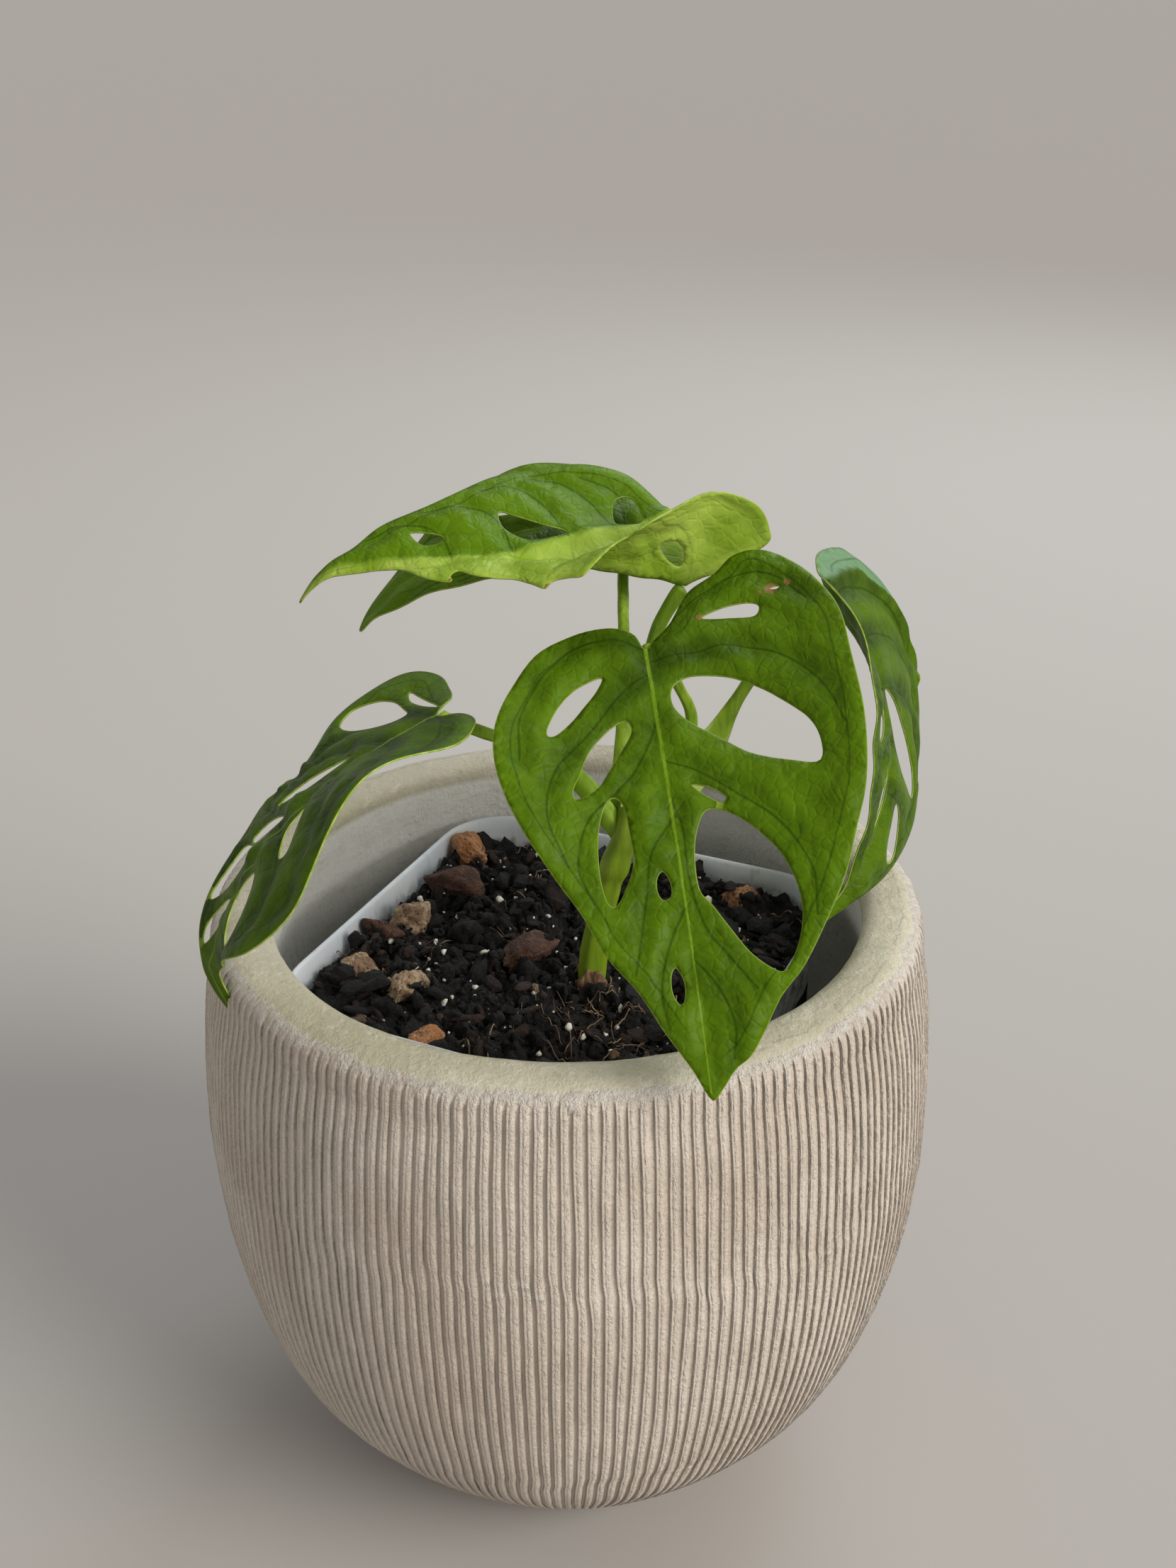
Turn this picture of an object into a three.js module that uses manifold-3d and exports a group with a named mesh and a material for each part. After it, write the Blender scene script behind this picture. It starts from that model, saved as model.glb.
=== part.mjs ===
// A young Swiss cheese plant, Monstera adansonii, in its nursery pot, which stands in a ribbed stoneware
// cover pot.
// Millimetres, +Z up. The origin is the middle of the cover pot's foot, and the front of the plant faces
// -Y.

import * as THREE from "three";
import { TessellateModifier } from "three/addons/modifiers/TessellateModifier.js";
import { mergeVertices } from "three/addons/utils/BufferGeometryUtils.js";
import Module from "manifold-3d";

// Driving dimensions.
const potWidth = 170; // widest part of the cover pot
const potHeight = 150;
const potFloor = 12; // thickness of the cover pot's floor
const nurserySide = 102; // square nursery pot, at its top edge
const nurseryFootSide = 68;
const nurseryTop = 137; // height of its top edge
const nurseryWall = 1.2;
const nurseryTurn = -24.4; // degrees, seen from above
const mixTop = 129.5; // height of the potting mix
const gap = 0.3; // clearance between pieces that touch
const bladeThickness = 1;
const stemWidth = 6.4;

const wasm = await Module();
wasm.setup();

// ---------------------------------------------------------------- materials

const finish = (color, roughness) => new THREE.MeshStandardMaterial({ color, roughness, metalness: 0 });
const glaze = finish(0xcfc8b4, 0.75);
const plastic = finish(0xb9c2cc, 0.5);
const mix = finish(0x231a15, 0.95);
const pumice = finish(0xb08d66, 0.9);
const bark = finish(0x4a2a1c, 0.9);
const stemGreen = finish(0x9cb84a, 0.5);
const leafGreen = finish(0x4c8a1c, 0.4);

// ---------------------------------------------------------------- solids

const part = new THREE.Group();

function addPiece(name, geometry, material) {
  const mesh = new THREE.Mesh(geometry, material);
  mesh.name = name;
  part.add(mesh);
  return mesh;
}

// A closed geometry with shared vertices, which holds nothing but positions.
function welded(geometry) {
  const bare = geometry.clone();
  bare.deleteAttribute("normal");
  bare.deleteAttribute("uv");
  return mergeVertices(bare, 1e-4);
}

function toSolid(geometry) {
  const closed = welded(geometry);
  const vertProperties = new Float32Array(closed.attributes.position.array);
  const triVerts = new Uint32Array(closed.index.array);
  return new wasm.Manifold(new wasm.Mesh({ numProp: 3, vertProperties, triVerts }));
}

function toGeometry(solid) {
  const mesh = solid.getMesh();
  const geometry = new THREE.BufferGeometry();
  geometry.setAttribute("position", new THREE.BufferAttribute(mesh.vertProperties, 3));
  geometry.setIndex(new THREE.BufferAttribute(mesh.triVerts, 1));
  return geometry;
}

// ---------------------------------------------------------------- pots and soil

// The cover pot is one turned wall: foot, belly, round rim, and the hollow inside it.
function coverPot() {
  const r = potWidth / 2;
  const h = potHeight;
  const outside = [[0.48, 0], [0.565, 0.035], [0.705, 0.12], [0.868, 0.25], [0.956, 0.4]];
  const belly = [[0.995, 0.55], [1, 0.7], [0.981, 0.85], [0.947, 0.955], [0.93, 0.988], [0.89, 1]];
  const lip = [[0.82, 0.998], [0.786, 0.98], [0.79, 0.94], [0.83, 0.87], [0.855, 0.72]];
  const inside = [[0.84, 0.56], [0.79, 0.38], [0.7, 0.22], [0.61, 0.125]];
  const points = [...outside, ...belly, ...lip, ...inside].map(([x, z]) => new THREE.Vector2(x * r, z * h));
  const onAxis = (z) => new THREE.Vector2(0, z);
  const floorEdge = new THREE.Vector2(0.56 * r, potFloor);
  const profile = [onAxis(0), ...points, floorEdge, onAxis(potFloor)];
  return new THREE.LatheGeometry(profile, 48).rotateX(Math.PI / 2);
}

function roundedSquare(side, corner) {
  const s = side / 2;
  const shape = new THREE.Shape();
  shape.absarc(s - corner, s - corner, corner, 0, Math.PI / 2);
  shape.absarc(corner - s, s - corner, corner, Math.PI / 2, Math.PI);
  shape.absarc(corner - s, corner - s, corner, Math.PI, Math.PI * 1.5);
  shape.absarc(s - corner, corner - s, corner, Math.PI * 1.5, Math.PI * 2);
  return shape;
}

// A square block that widens upwards, as the nursery pot and the mix in it do.
function taperedBlock(low, high, inset) {
  const side = (z) => {
    const t = (z - potFloor) / (nurseryTop - potFloor);
    return nurseryFootSide + (nurserySide - nurseryFootSide) * t - 2 * inset;
  };
  const shape = roundedSquare(1, 0.16);
  const block = new THREE.ExtrudeGeometry(shape, { depth: high - low, bevelEnabled: false,
    curveSegments: 4 });
  block.translate(0, 0, low);
  const p = block.attributes.position;
  for (let i = 0; i < p.count; i += 1) {
    const width = side(p.getZ(i));
    p.setXY(i, p.getX(i) * width, p.getY(i) * width);
  }
  return block.rotateZ(THREE.MathUtils.degToRad(nurseryTurn));
}

function nurseryPot() {
  const foot = potFloor + gap;
  let pot = toSolid(taperedBlock(foot, nurseryTop, 0));
  pot = pot.subtract(toSolid(taperedBlock(foot + nurseryWall, nurseryTop + 1, nurseryWall)));
  for (const [x, y] of [[18, 0], [0, 18], [-18, 0], [0, -18]]) {
    const drain = new THREE.CylinderGeometry(4, 4, 10, 12).rotateX(Math.PI / 2).translate(x, y, foot);
    pot = pot.subtract(toSolid(drain));
  }
  return toGeometry(pot);
}

// A stone or a chip of bark: a ball with uneven sides, squashed to its three widths.
function lump(piece, grow = 0) {
  const ball = welded(new THREE.IcosahedronGeometry(0.5, 2));
  const p = ball.attributes.position;
  const v = new THREE.Vector3();
  for (let i = 0; i < p.count; i += 1) {
    v.fromBufferAttribute(p, i);
    const dents = Math.sin(9 * v.x + piece.seed) * Math.sin(8 * v.y + 2 * piece.seed) * Math.sin(7 * v.z);
    v.multiplyScalar(1 + 0.22 * dents);
    p.setXYZ(i, v.x * (piece.size[0] + grow), v.y * (piece.size[1] + grow), v.z * (piece.size[2] + grow));
  }
  return ball.rotateZ(piece.seed).translate(piece.at[0], piece.at[1], mixTop + piece.rise);
}

const lumps = [
  { name: "pumice_left", material: pumice, at: [-37.4, 16.2], size: [11, 9, 8], rise: 1, seed: 1 },
  { name: "pumice_front_left", material: pumice, at: [-37, -13.8], size: [9, 8, 7], rise: 1, seed: 2 },
  { name: "pumice_rim", material: pumice, at: [-48.5, -6], size: [11, 7, 6], rise: 0.5, seed: 3 },
  { name: "pumice_front", material: pumice, at: [-30.5, -34.4], size: [6.5, 6, 6], rise: 1, seed: 4 },
  { name: "clay_back", material: pumice, at: [-24.9, 48.1], size: [10, 8, 7], rise: 1, seed: 5 },
  { name: "clay_right", material: pumice, at: [43.7, 25.8], size: [8, 7, 6], rise: 1, seed: 6 },
  { name: "bark_back", material: bark, at: [-30.3, 33.6], size: [12, 8, 7], rise: 1, seed: 7 },
  { name: "bark_middle", material: bark, at: [-9.4, 1.6], size: [17, 9, 6], rise: 0.5, seed: 8 },
  { name: "bark_left", material: bark, at: [-44, 9.7], size: [7, 6, 7], rise: 1, seed: 9 },
];

// ---------------------------------------------------------------- stems

// The stem leaves the mix, leans back and carries every petiole from the nodes near its top.
const stemRoute = [[3, -14.5, 92], [4.2, -13, 114], [5.3, -12.2, 129.5], [6.1, -13, 140.7],
  [7.6, -14.2, 150.7], [9.2, -15, 158], [11.2, -15.2, 166], [13.2, -15, 171]];

const petioles = [
  { name: "petiole_front", width: 2.4, route: [[17, -15, 174.5], [23, -6, 182], [27.3, 0, 190.6],
    [24, -4, 201], [19, -13, 211.5]] },
  { name: "petiole_top", width: 3.4, route: [[15.2, -10, 177], [16.4, -2, 191], [18, 4, 203],
    [19.8, 6.5, 210], [23.5, 8.3, 216.5]] },
  { name: "petiole_rear", width: 2.6, route: [[11, -9.5, 177], [12.4, -4, 192], [12.4, 4, 208],
    [12.4, 14, 214], [12.6, 24.5, 221.5]] },
  { name: "petiole_left", width: 2.8, route: [[9, -13, 175], [1, -15, 186], [-7, -20, 194],
    [-14.5, -26, 199.5], [-22.5, -29.8, 204]] },
  { name: "petiole_right", width: 3.2, route: [[17, -9, 172], [26, 0, 178], [33, 4, 186],
    [40, 5, 198.5], [47, 6.5, 208], [54, 8, 214]] },
];

function tube(route, width, steps = 20) {
  const path = new THREE.CatmullRomCurve3(route.map((p) => new THREE.Vector3(...p)));
  const section = new THREE.Shape().absarc(0, 0, width / 2, 0, Math.PI * 2);
  return new THREE.ExtrudeGeometry(section, { steps, curveSegments: 5, bevelEnabled: false,
    extrudePath: path });
}

// ---------------------------------------------------------------- leaves

// Every blade is drawn flat first: x across the midrib and y along it, with the petiole's joint at 0, 0.
// An outline runs once round the blade, and a hole is [x, y, length, width, degrees].
const leaves = [
  {
    name: "leaf_front",
    joint: [16.2, -20, 216], tip: [27.4, -86, 153.8], bow: [0, -4, 4], length: 92,
    across: [[1, 0, 0.02], [1, 0, 0]],
    rightRise: [6, 4, 0], rightCurl: [-0.8, -0.7, -0.5], leftRise: [6, 4, 0], leftCurl: [-0.8, -0.7, -0.5],
    outline: [[0, 0], [-6, -6], [-14, -6], [-24, 2], [-32, 15], [-33, 26], [-29, 40], [-20, 55],
      [-10, 72], [-3, 85], [0, 92], [4, 90], [10, 82], [19, 71], [29, 57], [37, 40], [40, 22], [40, 4],
      [36, -11], [28, -20], [20, -21], [10, -14], [4, -6]],
    holes: [[18.5, -6.3, 12, 2.6, -5], [18, 18.5, 33, 11, 37], [8, 34, 7, 1.8, 35],
      [12, 55, 33, 14, 68], [-16, 12, 17, 5, 135], [-12, 25, 20, 6, 128], [-12, 44, 21, 6, 97],
      [-3.5, 52, 5, 2.6, 90], [-3.5, 70.5, 5.5, 2.2, 90]],
  },
  {
    name: "leaf_left",
    joint: [-25.4, -30.4, 206.4], tip: [-74.6, -39.1, 149], bow: [-6, -17.5, 12.4], length: 84,
    across: [[0.24, 0.96, -0.15], [-0.35, 0.53, -0.77]],
    rightRise: [8, 18, 14], rightCurl: [0, 0, 0], leftRise: [-22, -10.5, -32, -21.5, -11], leftCurl: [0, 0, 0],
    outline: [[0, 0], [4, -6], [10, -10], [17, -13], [24, -11], [29, -5], [31, 3], [30, 14], [27, 27],
      [27, 42], [25, 54], [19, 61], [12, 67], [6, 74], [2, 80], [0, 88], [-2, 80], [-6, 72], [-12, 65],
      [-18, 58], [-25, 50], [-28, 40], [-27, 30], [-24, 20], [-19, 9], [-12, 1], [-6, -3]],
    holes: [[18, 2, 18, 7.5, 12], [10, -5, 11, 3, -17], [10, 29, 25, 6, 66], [7, 45, 13, 4, 50],
      [8.5, 60, 16, 5.5, 85], [-7, 35.5, 11, 4.5, 140], [-9, 55, 15, 6, 120], [2, 69, 12, 2.6, 88]],
  },
  {
    name: "leaf_right",
    joint: [56.9, 7.9, 216.9], tip: [55.8, -23.3, 156.1], bow: [14.3, 2.9, -1.8], length: 80,
    across: [[-0.41, -0.71, 0.57], [-0.5, -0.71, 0.48]],
    rightRise: [9, 6, 13], rightCurl: [0, 0, 0], leftRise: [19, -7, 22], leftCurl: [-0.24, 0, -1.6],
    outline: [[0, 0], [-3, -4.5], [-8, -6], [-14, -6], [-23, -4], [-31, -1], [-36, 7], [-37, 18], [-37, 29],
      [-34, 40], [-27, 49], [-20, 58], [-12, 66], [-4, 74], [0, 82], [4, 75], [9, 67], [15, 56],
      [19, 44], [22, 30], [21, 16], [17, 4], [11, -4], [5, -4]],
    holes: [[-12, 36, 28, 7, 137], [4, 50, 18, 4, 100], [-9.5, 57, 12, 5, 115], [10, 28, 14, 4, 65]],
  },
  {
    name: "leaf_top",
    joint: [25.9, 8.6, 219.6], tip: [-52, -6.1, 227.1], bow: [-1, -4.6, 5.7], length: 84,
    across: [[-0.09, 0.98, -0.15], [0.03, 1, 0.04]],
    rightRise: [27, 35, 22], rightCurl: [0.7, -0.8, 0.2], leftRise: [75, 10, -20], leftCurl: [0, -3, -2],
    outline: [[0, 0], [4, -5], [11, -6], [19, -1], [26, 7], [29, 17], [27, 30], [21, 43], [15, 52],
      [10, 62], [4, 74], [0, 85], [-4, 74], [-8, 64], [-12, 52], [-14, 40], [-17, 28], [-20, 15],
      [-22, 4], [-20, -8], [-14, -13], [-6, -8]],
    holes: [[5, 59, 8, 2.6, 95], [9, 35, 16, 4, 110], [17, 11, 9, 6, 120], [-9, 9, 8, 5, 100]],
  },
  {
    name: "leaf_rear",
    joint: [13, 27.5, 224.5], tip: [-47, 20, 206], bow: [0, 2, 9], length: 76,
    across: [[0, 1, 0], [0, 1, 0]],
    rightRise: [22, 24, 14], rightCurl: [-0.3, -0.3, -0.3],
    leftRise: [-6, -14, -14], leftCurl: [-0.4, -0.4, -0.4],
    outline: [[0, 0], [5, -6], [12, -8], [19, -4], [23, 6], [24, 18], [22, 30], [18, 42], [12, 54],
      [6, 65], [2, 71], [0, 76], [-3, 71], [-7, 62], [-12, 50], [-16, 36], [-18, 22], [-18, 8],
      [-15, -3], [-10, -7], [-5, -6]],
    holes: [[12, 18, 15, 5, 62], [9, 36, 13, 4, 68], [-9, 20, 13, 4, 118], [-8, 36, 11, 3, 115]],
  },
];

// Values given at even steps along the blade, eased from one to the next.
function eased(values, t) {
  const place = THREE.MathUtils.clamp(t, 0, 1) * (values.length - 1);
  const i = Math.min(Math.floor(place), values.length - 2);
  const ease = THREE.MathUtils.smoothstep(place - i, 0, 1);
  return [].concat(values[i]).map((v, k) => v + ([].concat(values[i + 1])[k] - v) * ease);
}

function midrib(leaf, y) {
  const t = y / leaf.length;
  const p = new THREE.Vector3(...leaf.joint).lerp(new THREE.Vector3(...leaf.tip), t);
  return p.addScaledVector(new THREE.Vector3(...leaf.bow), 4 * t * (1 - t));
}

// Where a point of the flat blade lies on the plant. Each half leaves the midrib at its rise angle
// and curls on as an arc, so the place across is the sum along that arc, and z goes out along its
// normal.
function bladePoint(leaf, x, y, z) {
  const t = y / leaf.length;
  const along = midrib(leaf, y + 0.1).sub(midrib(leaf, y - 0.1)).normalize();
  const across = new THREE.Vector3(...eased(leaf.across, t));
  across.addScaledVector(along, -across.dot(along)).normalize();
  const up = new THREE.Vector3().crossVectors(across, along);
  const side = x < 0 ? -1 : 1;
  const rise = THREE.MathUtils.degToRad(eased(side < 0 ? leaf.leftRise : leaf.rightRise, t)[0]);
  const curl = THREE.MathUtils.degToRad(eased(side < 0 ? leaf.leftCurl : leaf.rightCurl, t)[0]) || 1e-6;
  const end = rise + curl * Math.abs(x);
  const out = (Math.sin(end) - Math.sin(rise)) / curl;
  const height = (Math.cos(rise) - Math.cos(end)) / curl;
  const lean = end * Math.min(1, Math.abs(x) / 3);
  const p = midrib(leaf, y);
  p.addScaledVector(across, side * (out - z * Math.sin(lean)));
  return p.addScaledVector(up, height + z * Math.cos(lean));
}

function blade(leaf) {
  const corners = leaf.outline.map(([x, y]) => new THREE.Vector3(x, y, 0));
  const edge = new THREE.CatmullRomCurve3(corners, true).getSpacedPoints(48).slice(0, -1);
  const shape = new THREE.Shape(edge.map((p) => new THREE.Vector2(p.x, p.y)));
  for (const [x, y, long, wide, turn] of leaf.holes) {
    const hole = new THREE.Path();
    hole.absellipse(x, y, long / 2, wide / 2, 0, Math.PI * 2, false, THREE.MathUtils.degToRad(turn));
    shape.holes.push(new THREE.Path(hole.getSpacedPoints(11).slice(0, -1)));
  }
  const flat = { depth: bladeThickness, bevelEnabled: false, curveSegments: 4 };
  const slab = new THREE.ExtrudeGeometry(shape, flat);
  const fine = new TessellateModifier(14, 8).modify(slab.translate(0, 0, -bladeThickness / 2));
  const p = fine.attributes.position;
  for (let i = 0; i < p.count; i += 1) {
    const v = bladePoint(leaf, p.getX(i), p.getY(i), p.getZ(i));
    p.setXYZ(i, v.x, v.y, v.z);
  }
  return welded(fine);
}

// ---------------------------------------------------------------- the plant in its pots

addPiece("cover_pot", coverPot(), glaze);
addPiece("nursery_pot", nurseryPot(), plastic);

const stem = tube(stemRoute, stemWidth, 16);
let soil = toSolid(taperedBlock(potFloor + 2 * gap + nurseryWall, mixTop, nurseryWall + gap));
soil = soil.subtract(toSolid(tube(stemRoute, stemWidth + 2 * gap, 16).translate(0, 0, -gap)));
soil = lumps.reduce((body, piece) => body.subtract(toSolid(lump(piece, 2 * gap))), soil);
addPiece("potting_mix", toGeometry(soil), mix);
for (const piece of lumps) addPiece(piece.name, lump(piece), piece.material);

addPiece("main_stem", stem, stemGreen);
for (const petiole of petioles) addPiece(petiole.name, tube(petiole.route, petiole.width), stemGreen);
for (const leaf of leaves) addPiece(leaf.name, blade(leaf), leafGreen);

export default part;
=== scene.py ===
# A young Swiss cheese plant in a square nursery pot, standing in a ribbed stoneware cover pot.
# Metres, +Z up, front towards -Y. Sizes in the sections are millimetres and are scaled by MM.

import math

import bpy
import bmesh
import numpy as np
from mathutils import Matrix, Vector, geometry


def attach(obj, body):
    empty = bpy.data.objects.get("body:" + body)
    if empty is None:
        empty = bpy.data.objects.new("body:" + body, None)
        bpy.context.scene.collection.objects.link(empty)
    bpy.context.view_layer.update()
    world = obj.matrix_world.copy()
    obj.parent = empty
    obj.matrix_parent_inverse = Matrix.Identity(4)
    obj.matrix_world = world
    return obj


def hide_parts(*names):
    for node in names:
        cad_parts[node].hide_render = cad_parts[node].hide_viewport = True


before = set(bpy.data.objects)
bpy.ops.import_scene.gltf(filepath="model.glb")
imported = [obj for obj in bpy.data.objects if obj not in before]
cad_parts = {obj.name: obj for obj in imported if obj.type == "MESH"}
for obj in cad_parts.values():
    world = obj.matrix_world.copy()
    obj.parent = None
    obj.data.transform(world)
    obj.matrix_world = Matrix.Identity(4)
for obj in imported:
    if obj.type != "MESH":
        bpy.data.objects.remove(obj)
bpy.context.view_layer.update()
MM = 0.001

# ---------------------------------------------------------------- camera
# The view from above the table, straight at the front of the pot and tilted down. Colours are shown
# as they are, without a film look.


def place_object(object_name, data):
    """A new object in the scene that shows the data."""
    made = bpy.data.objects.new(object_name, data)
    bpy.context.scene.collection.objects.link(made)
    return made


camera = place_object("camera", bpy.data.cameras.new("camera"))
camera.data.sensor_width = 36
camera.data.lens = 39.06
camera.location = (0.0047, -0.3385, 0.3429)
camera.rotation_euler = (math.radians(90 - 26.28), 0, 0)
camera.data.clip_start = 0.01
bpy.context.scene.camera = camera
bpy.context.scene.view_settings.view_transform = "Standard"

# ---------------------------------------------------------------- cover pot
# Turned stoneware, combed while soft so that fine upright ribs cover the bare, pinkish beige body.
# A thin greenish cream glaze covers the smooth rolled rim, and the inside has a paler lining.
# Painted shade darkens the grooves between the ribs.

RIB_COUNT = 198
RIB_DEPTH = 0.7
BODY_ROWS, RIM_ROWS, INSIDE_ROWS = 52, 20, 11
RIBS_END, GLAZE_FROM, CRACK_AT, LINING_FROM = 60, 60, 62, 70  # rows of the turned profile
RIB_STEPS = [0.05, 0.25, 0.35, 0.50, 0.62, 0.90]  # places across one rib, as shares of its pitch
RIB_HEIGHTS = [0.0, 0.0, 1.0, 0.55, 0.78, 0.72]    # smooth groove, sharp ridge, rough flat
FOOT = [(0, 0.6), (30, 0.6), (39, 0.2)]
BODY = [(40.8, 0), (48, 5.2), (59.9, 18), (73.8, 37.5), (81.3, 60), (84.6, 82.5), (85, 105), (83.4, 127.5),
        (81, 141.5)]
RIM = [(80.9, 144), (80.1, 147.2), (78.2, 149.1), (76.9, 149.7), (75.6, 150.2), (70.2, 150.1),
       (67.6, 149.1), (66.8, 146.8), (67, 141)]
INSIDE = [(70.5, 130), (72.7, 108), (71.4, 84), (67.1, 57), (59.5, 33), (51.8, 18.7), (46, 12), (0, 12)]


def spline(points, count, closed=False):
    """A Catmull-Rom curve through the points, as `count` points evenly spaced along its length."""
    p = np.asarray(points, float)
    ends = (p[-1:], p[:1], p[1:2]) if closed else (2 * p[:1] - p[1:2], 2 * p[-1:] - p[-2:-1])
    p = np.concatenate([ends[0], p, *ends[1:]])
    t = np.linspace(0, 1, 17)[:-1, None, None]
    a, b, c, d = p[:-3], p[1:-2], p[2:-1], p[3:]
    curve = 0.5 * (2 * b + (c - a) * t + (2 * a - 5 * b + 4 * c - d) * t ** 2
                   + (3 * b - a - 3 * c + d) * t ** 3)
    curve = curve.transpose(1, 0, 2).reshape(-1, p.shape[1])
    curve = np.concatenate([curve, p[-2:-1]])
    length = np.concatenate([[0], np.cumsum(np.linalg.norm(np.diff(curve, axis=0), axis=1))])
    where = np.linspace(0, length[-1], count, endpoint=not closed)
    return np.stack([np.interp(where, length, axis) for axis in curve.T], 1)


def ripple(points, size, seed):
    """Smooth unevenness of about -1 to 1: eleven waves of roughly that size, each in a seeded direction."""
    rng = np.random.default_rng(seed)
    way = rng.normal(size=(11, 3))
    way *= (rng.uniform(0.7, 1.4, 11) * 2 * np.pi / size / np.linalg.norm(way, axis=1))[:, None]
    points = np.asarray(points, float)
    return np.sin(points @ way[:, :points.shape[-1]].T + rng.uniform(0, 6.283, 11)).sum(-1) / 4.2


def smooth(low, high, value):
    """0 below low, 1 above high and an eased step between them."""
    t = np.clip((np.asarray(value, float) - low) / (high - low), 0, 1)
    return t * t * (3 - 2 * t)


def show(piece_name, points, faces, materials, stands_for=(), uv=None, tones=None):
    """A smooth mesh object from points in millimetres. tones holds named values for each point."""
    mesh = bpy.data.meshes.new(piece_name)
    mesh.from_pydata((np.asarray(points).reshape(-1, 3) * MM).tolist(), [], faces)
    mesh.polygons.foreach_set("use_smooth", np.ones(len(mesh.polygons), bool))
    if uv is not None:
        corner = np.empty(len(mesh.loops), int)
        mesh.loops.foreach_get("vertex_index", corner)
        flat = np.asarray(uv, float).reshape(-1, 2)[corner]
        mesh.uv_layers.new(name="flat").data.foreach_set("uv", flat.ravel())
    for tone_name, values in (tones or {}).items():
        layer = mesh.attributes.new(tone_name, "FLOAT", "POINT")
        layer.data.foreach_set("value", np.asarray(values, np.float32).ravel())
    piece = place_object(piece_name, mesh)
    for made in materials if isinstance(materials, list) else [materials]:
        mesh.materials.append(made)
    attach(piece, "root")
    if stands_for:
        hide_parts(*stands_for)
    return piece


def thicken(piece, thickness):
    """Gives a sheet a thickness in millimetres."""
    wall = piece.modifiers.new("wall", "SOLIDIFY")
    wall.thickness = thickness * MM
    return wall


def net(rows, columns, around=True):
    """The four-sided faces of a grid of rows and columns, joined round each row if around is true."""
    r = np.arange(rows - 1)[:, None]
    c = np.arange(columns if around else columns - 1)[None, :]
    n = (c + 1) % columns
    quads = np.stack([r * columns + c, r * columns + n, (r + 1) * columns + n, (r + 1) * columns + c], -1)
    return quads.reshape(-1, 4).tolist()


def finish(material_name, roughness):
    """A material and a function that adds a node to it. Inputs are numbers, colours or other nodes."""
    made = bpy.data.materials.new(material_name)
    made.use_nodes = True
    tree = made.node_tree
    gloss = tree.nodes["Principled BSDF"]
    gloss.inputs["Roughness"].default_value = roughness

    def join(box, inputs):
        """Sets or links the inputs of a node."""
        for key, value in inputs.items():
            socket = box.inputs[key]
            if isinstance(value, bpy.types.Node):
                value = value.outputs[0]
            if isinstance(value, bpy.types.NodeSocket):
                tree.links.new(value, socket)
            elif socket.type == "RGBA" and len(value) == 3:
                socket.default_value = (*value, 1)
            else:
                socket.default_value = value

    def add(kind, inputs=None, **settings):
        """A new node, or the material's own one where the kind is gloss."""
        box = gloss if kind == "gloss" else tree.nodes.new("ShaderNode" + kind)
        for key, value in settings.items():
            setattr(box, key, value)
        join(box, inputs or {})
        return box

    return made, add


def between(add, amount, first, second):
    """A colour that goes from the first to the second as amount goes from 0 to 1."""
    box = add("Mix", {0: amount, 6: first, 7: second}, data_type="RGBA")
    return box.outputs[2]


def span(add, value, low, high, first=0.0, second=1.0):
    """Value eased from first at low to second at high."""
    return add("MapRange", {"Value": value, "From Min": low, "From Max": high, "To Min": first,
                            "To Max": second}, interpolation_type="SMOOTHSTEP")


def wash(add, colour, other, value, low, high, most=1.0):
    """The colour with the other over it, from none where value is low to the share most where high."""
    return between(add, span(add, value, low, high, 0, most), colour, other)


def figure(add, operation, first, second=0.5):
    """One sum on one or two values."""
    return add("Math", {0: first, 1: second}, operation=operation)


def times(add, first, second):
    """The first value multiplied by the second."""
    return figure(add, "MULTIPLY", first, second)


def plus(add, first, second):
    """The two values added."""
    return figure(add, "ADD", first, second)


def minus(add, first, second):
    """The first value less the second."""
    return figure(add, "SUBTRACT", first, second)


def tone_of(add, tone_name):
    """A value that the mesh holds for each point."""
    return add("Attribute", attribute_name=tone_name).outputs["Fac"]


def grain_of(add, height, depth, strength=1.0):
    """A fine relief from a value, as deep as depth metres."""
    return add("Bump", {"Height": height, "Distance": depth, "Strength": strength})


def here(add):
    """The place of a point, in metres."""
    return add("TexCoord").outputs["Object"]


def drawn(add, place, share):
    """The place with its height counted at a share, so that a texture is drawn out upwards below 1."""
    return add("Mapping", {"Vector": place, "Scale": (1, 1, share)})


def noise(add, place, scale, detail=3.0, roughness=0.55):
    """Noise from 0 to 1 at a scale in waves for each metre."""
    return add("TexNoise", {"Vector": place, "Scale": scale, "Detail": detail, "Roughness": roughness})


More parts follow.
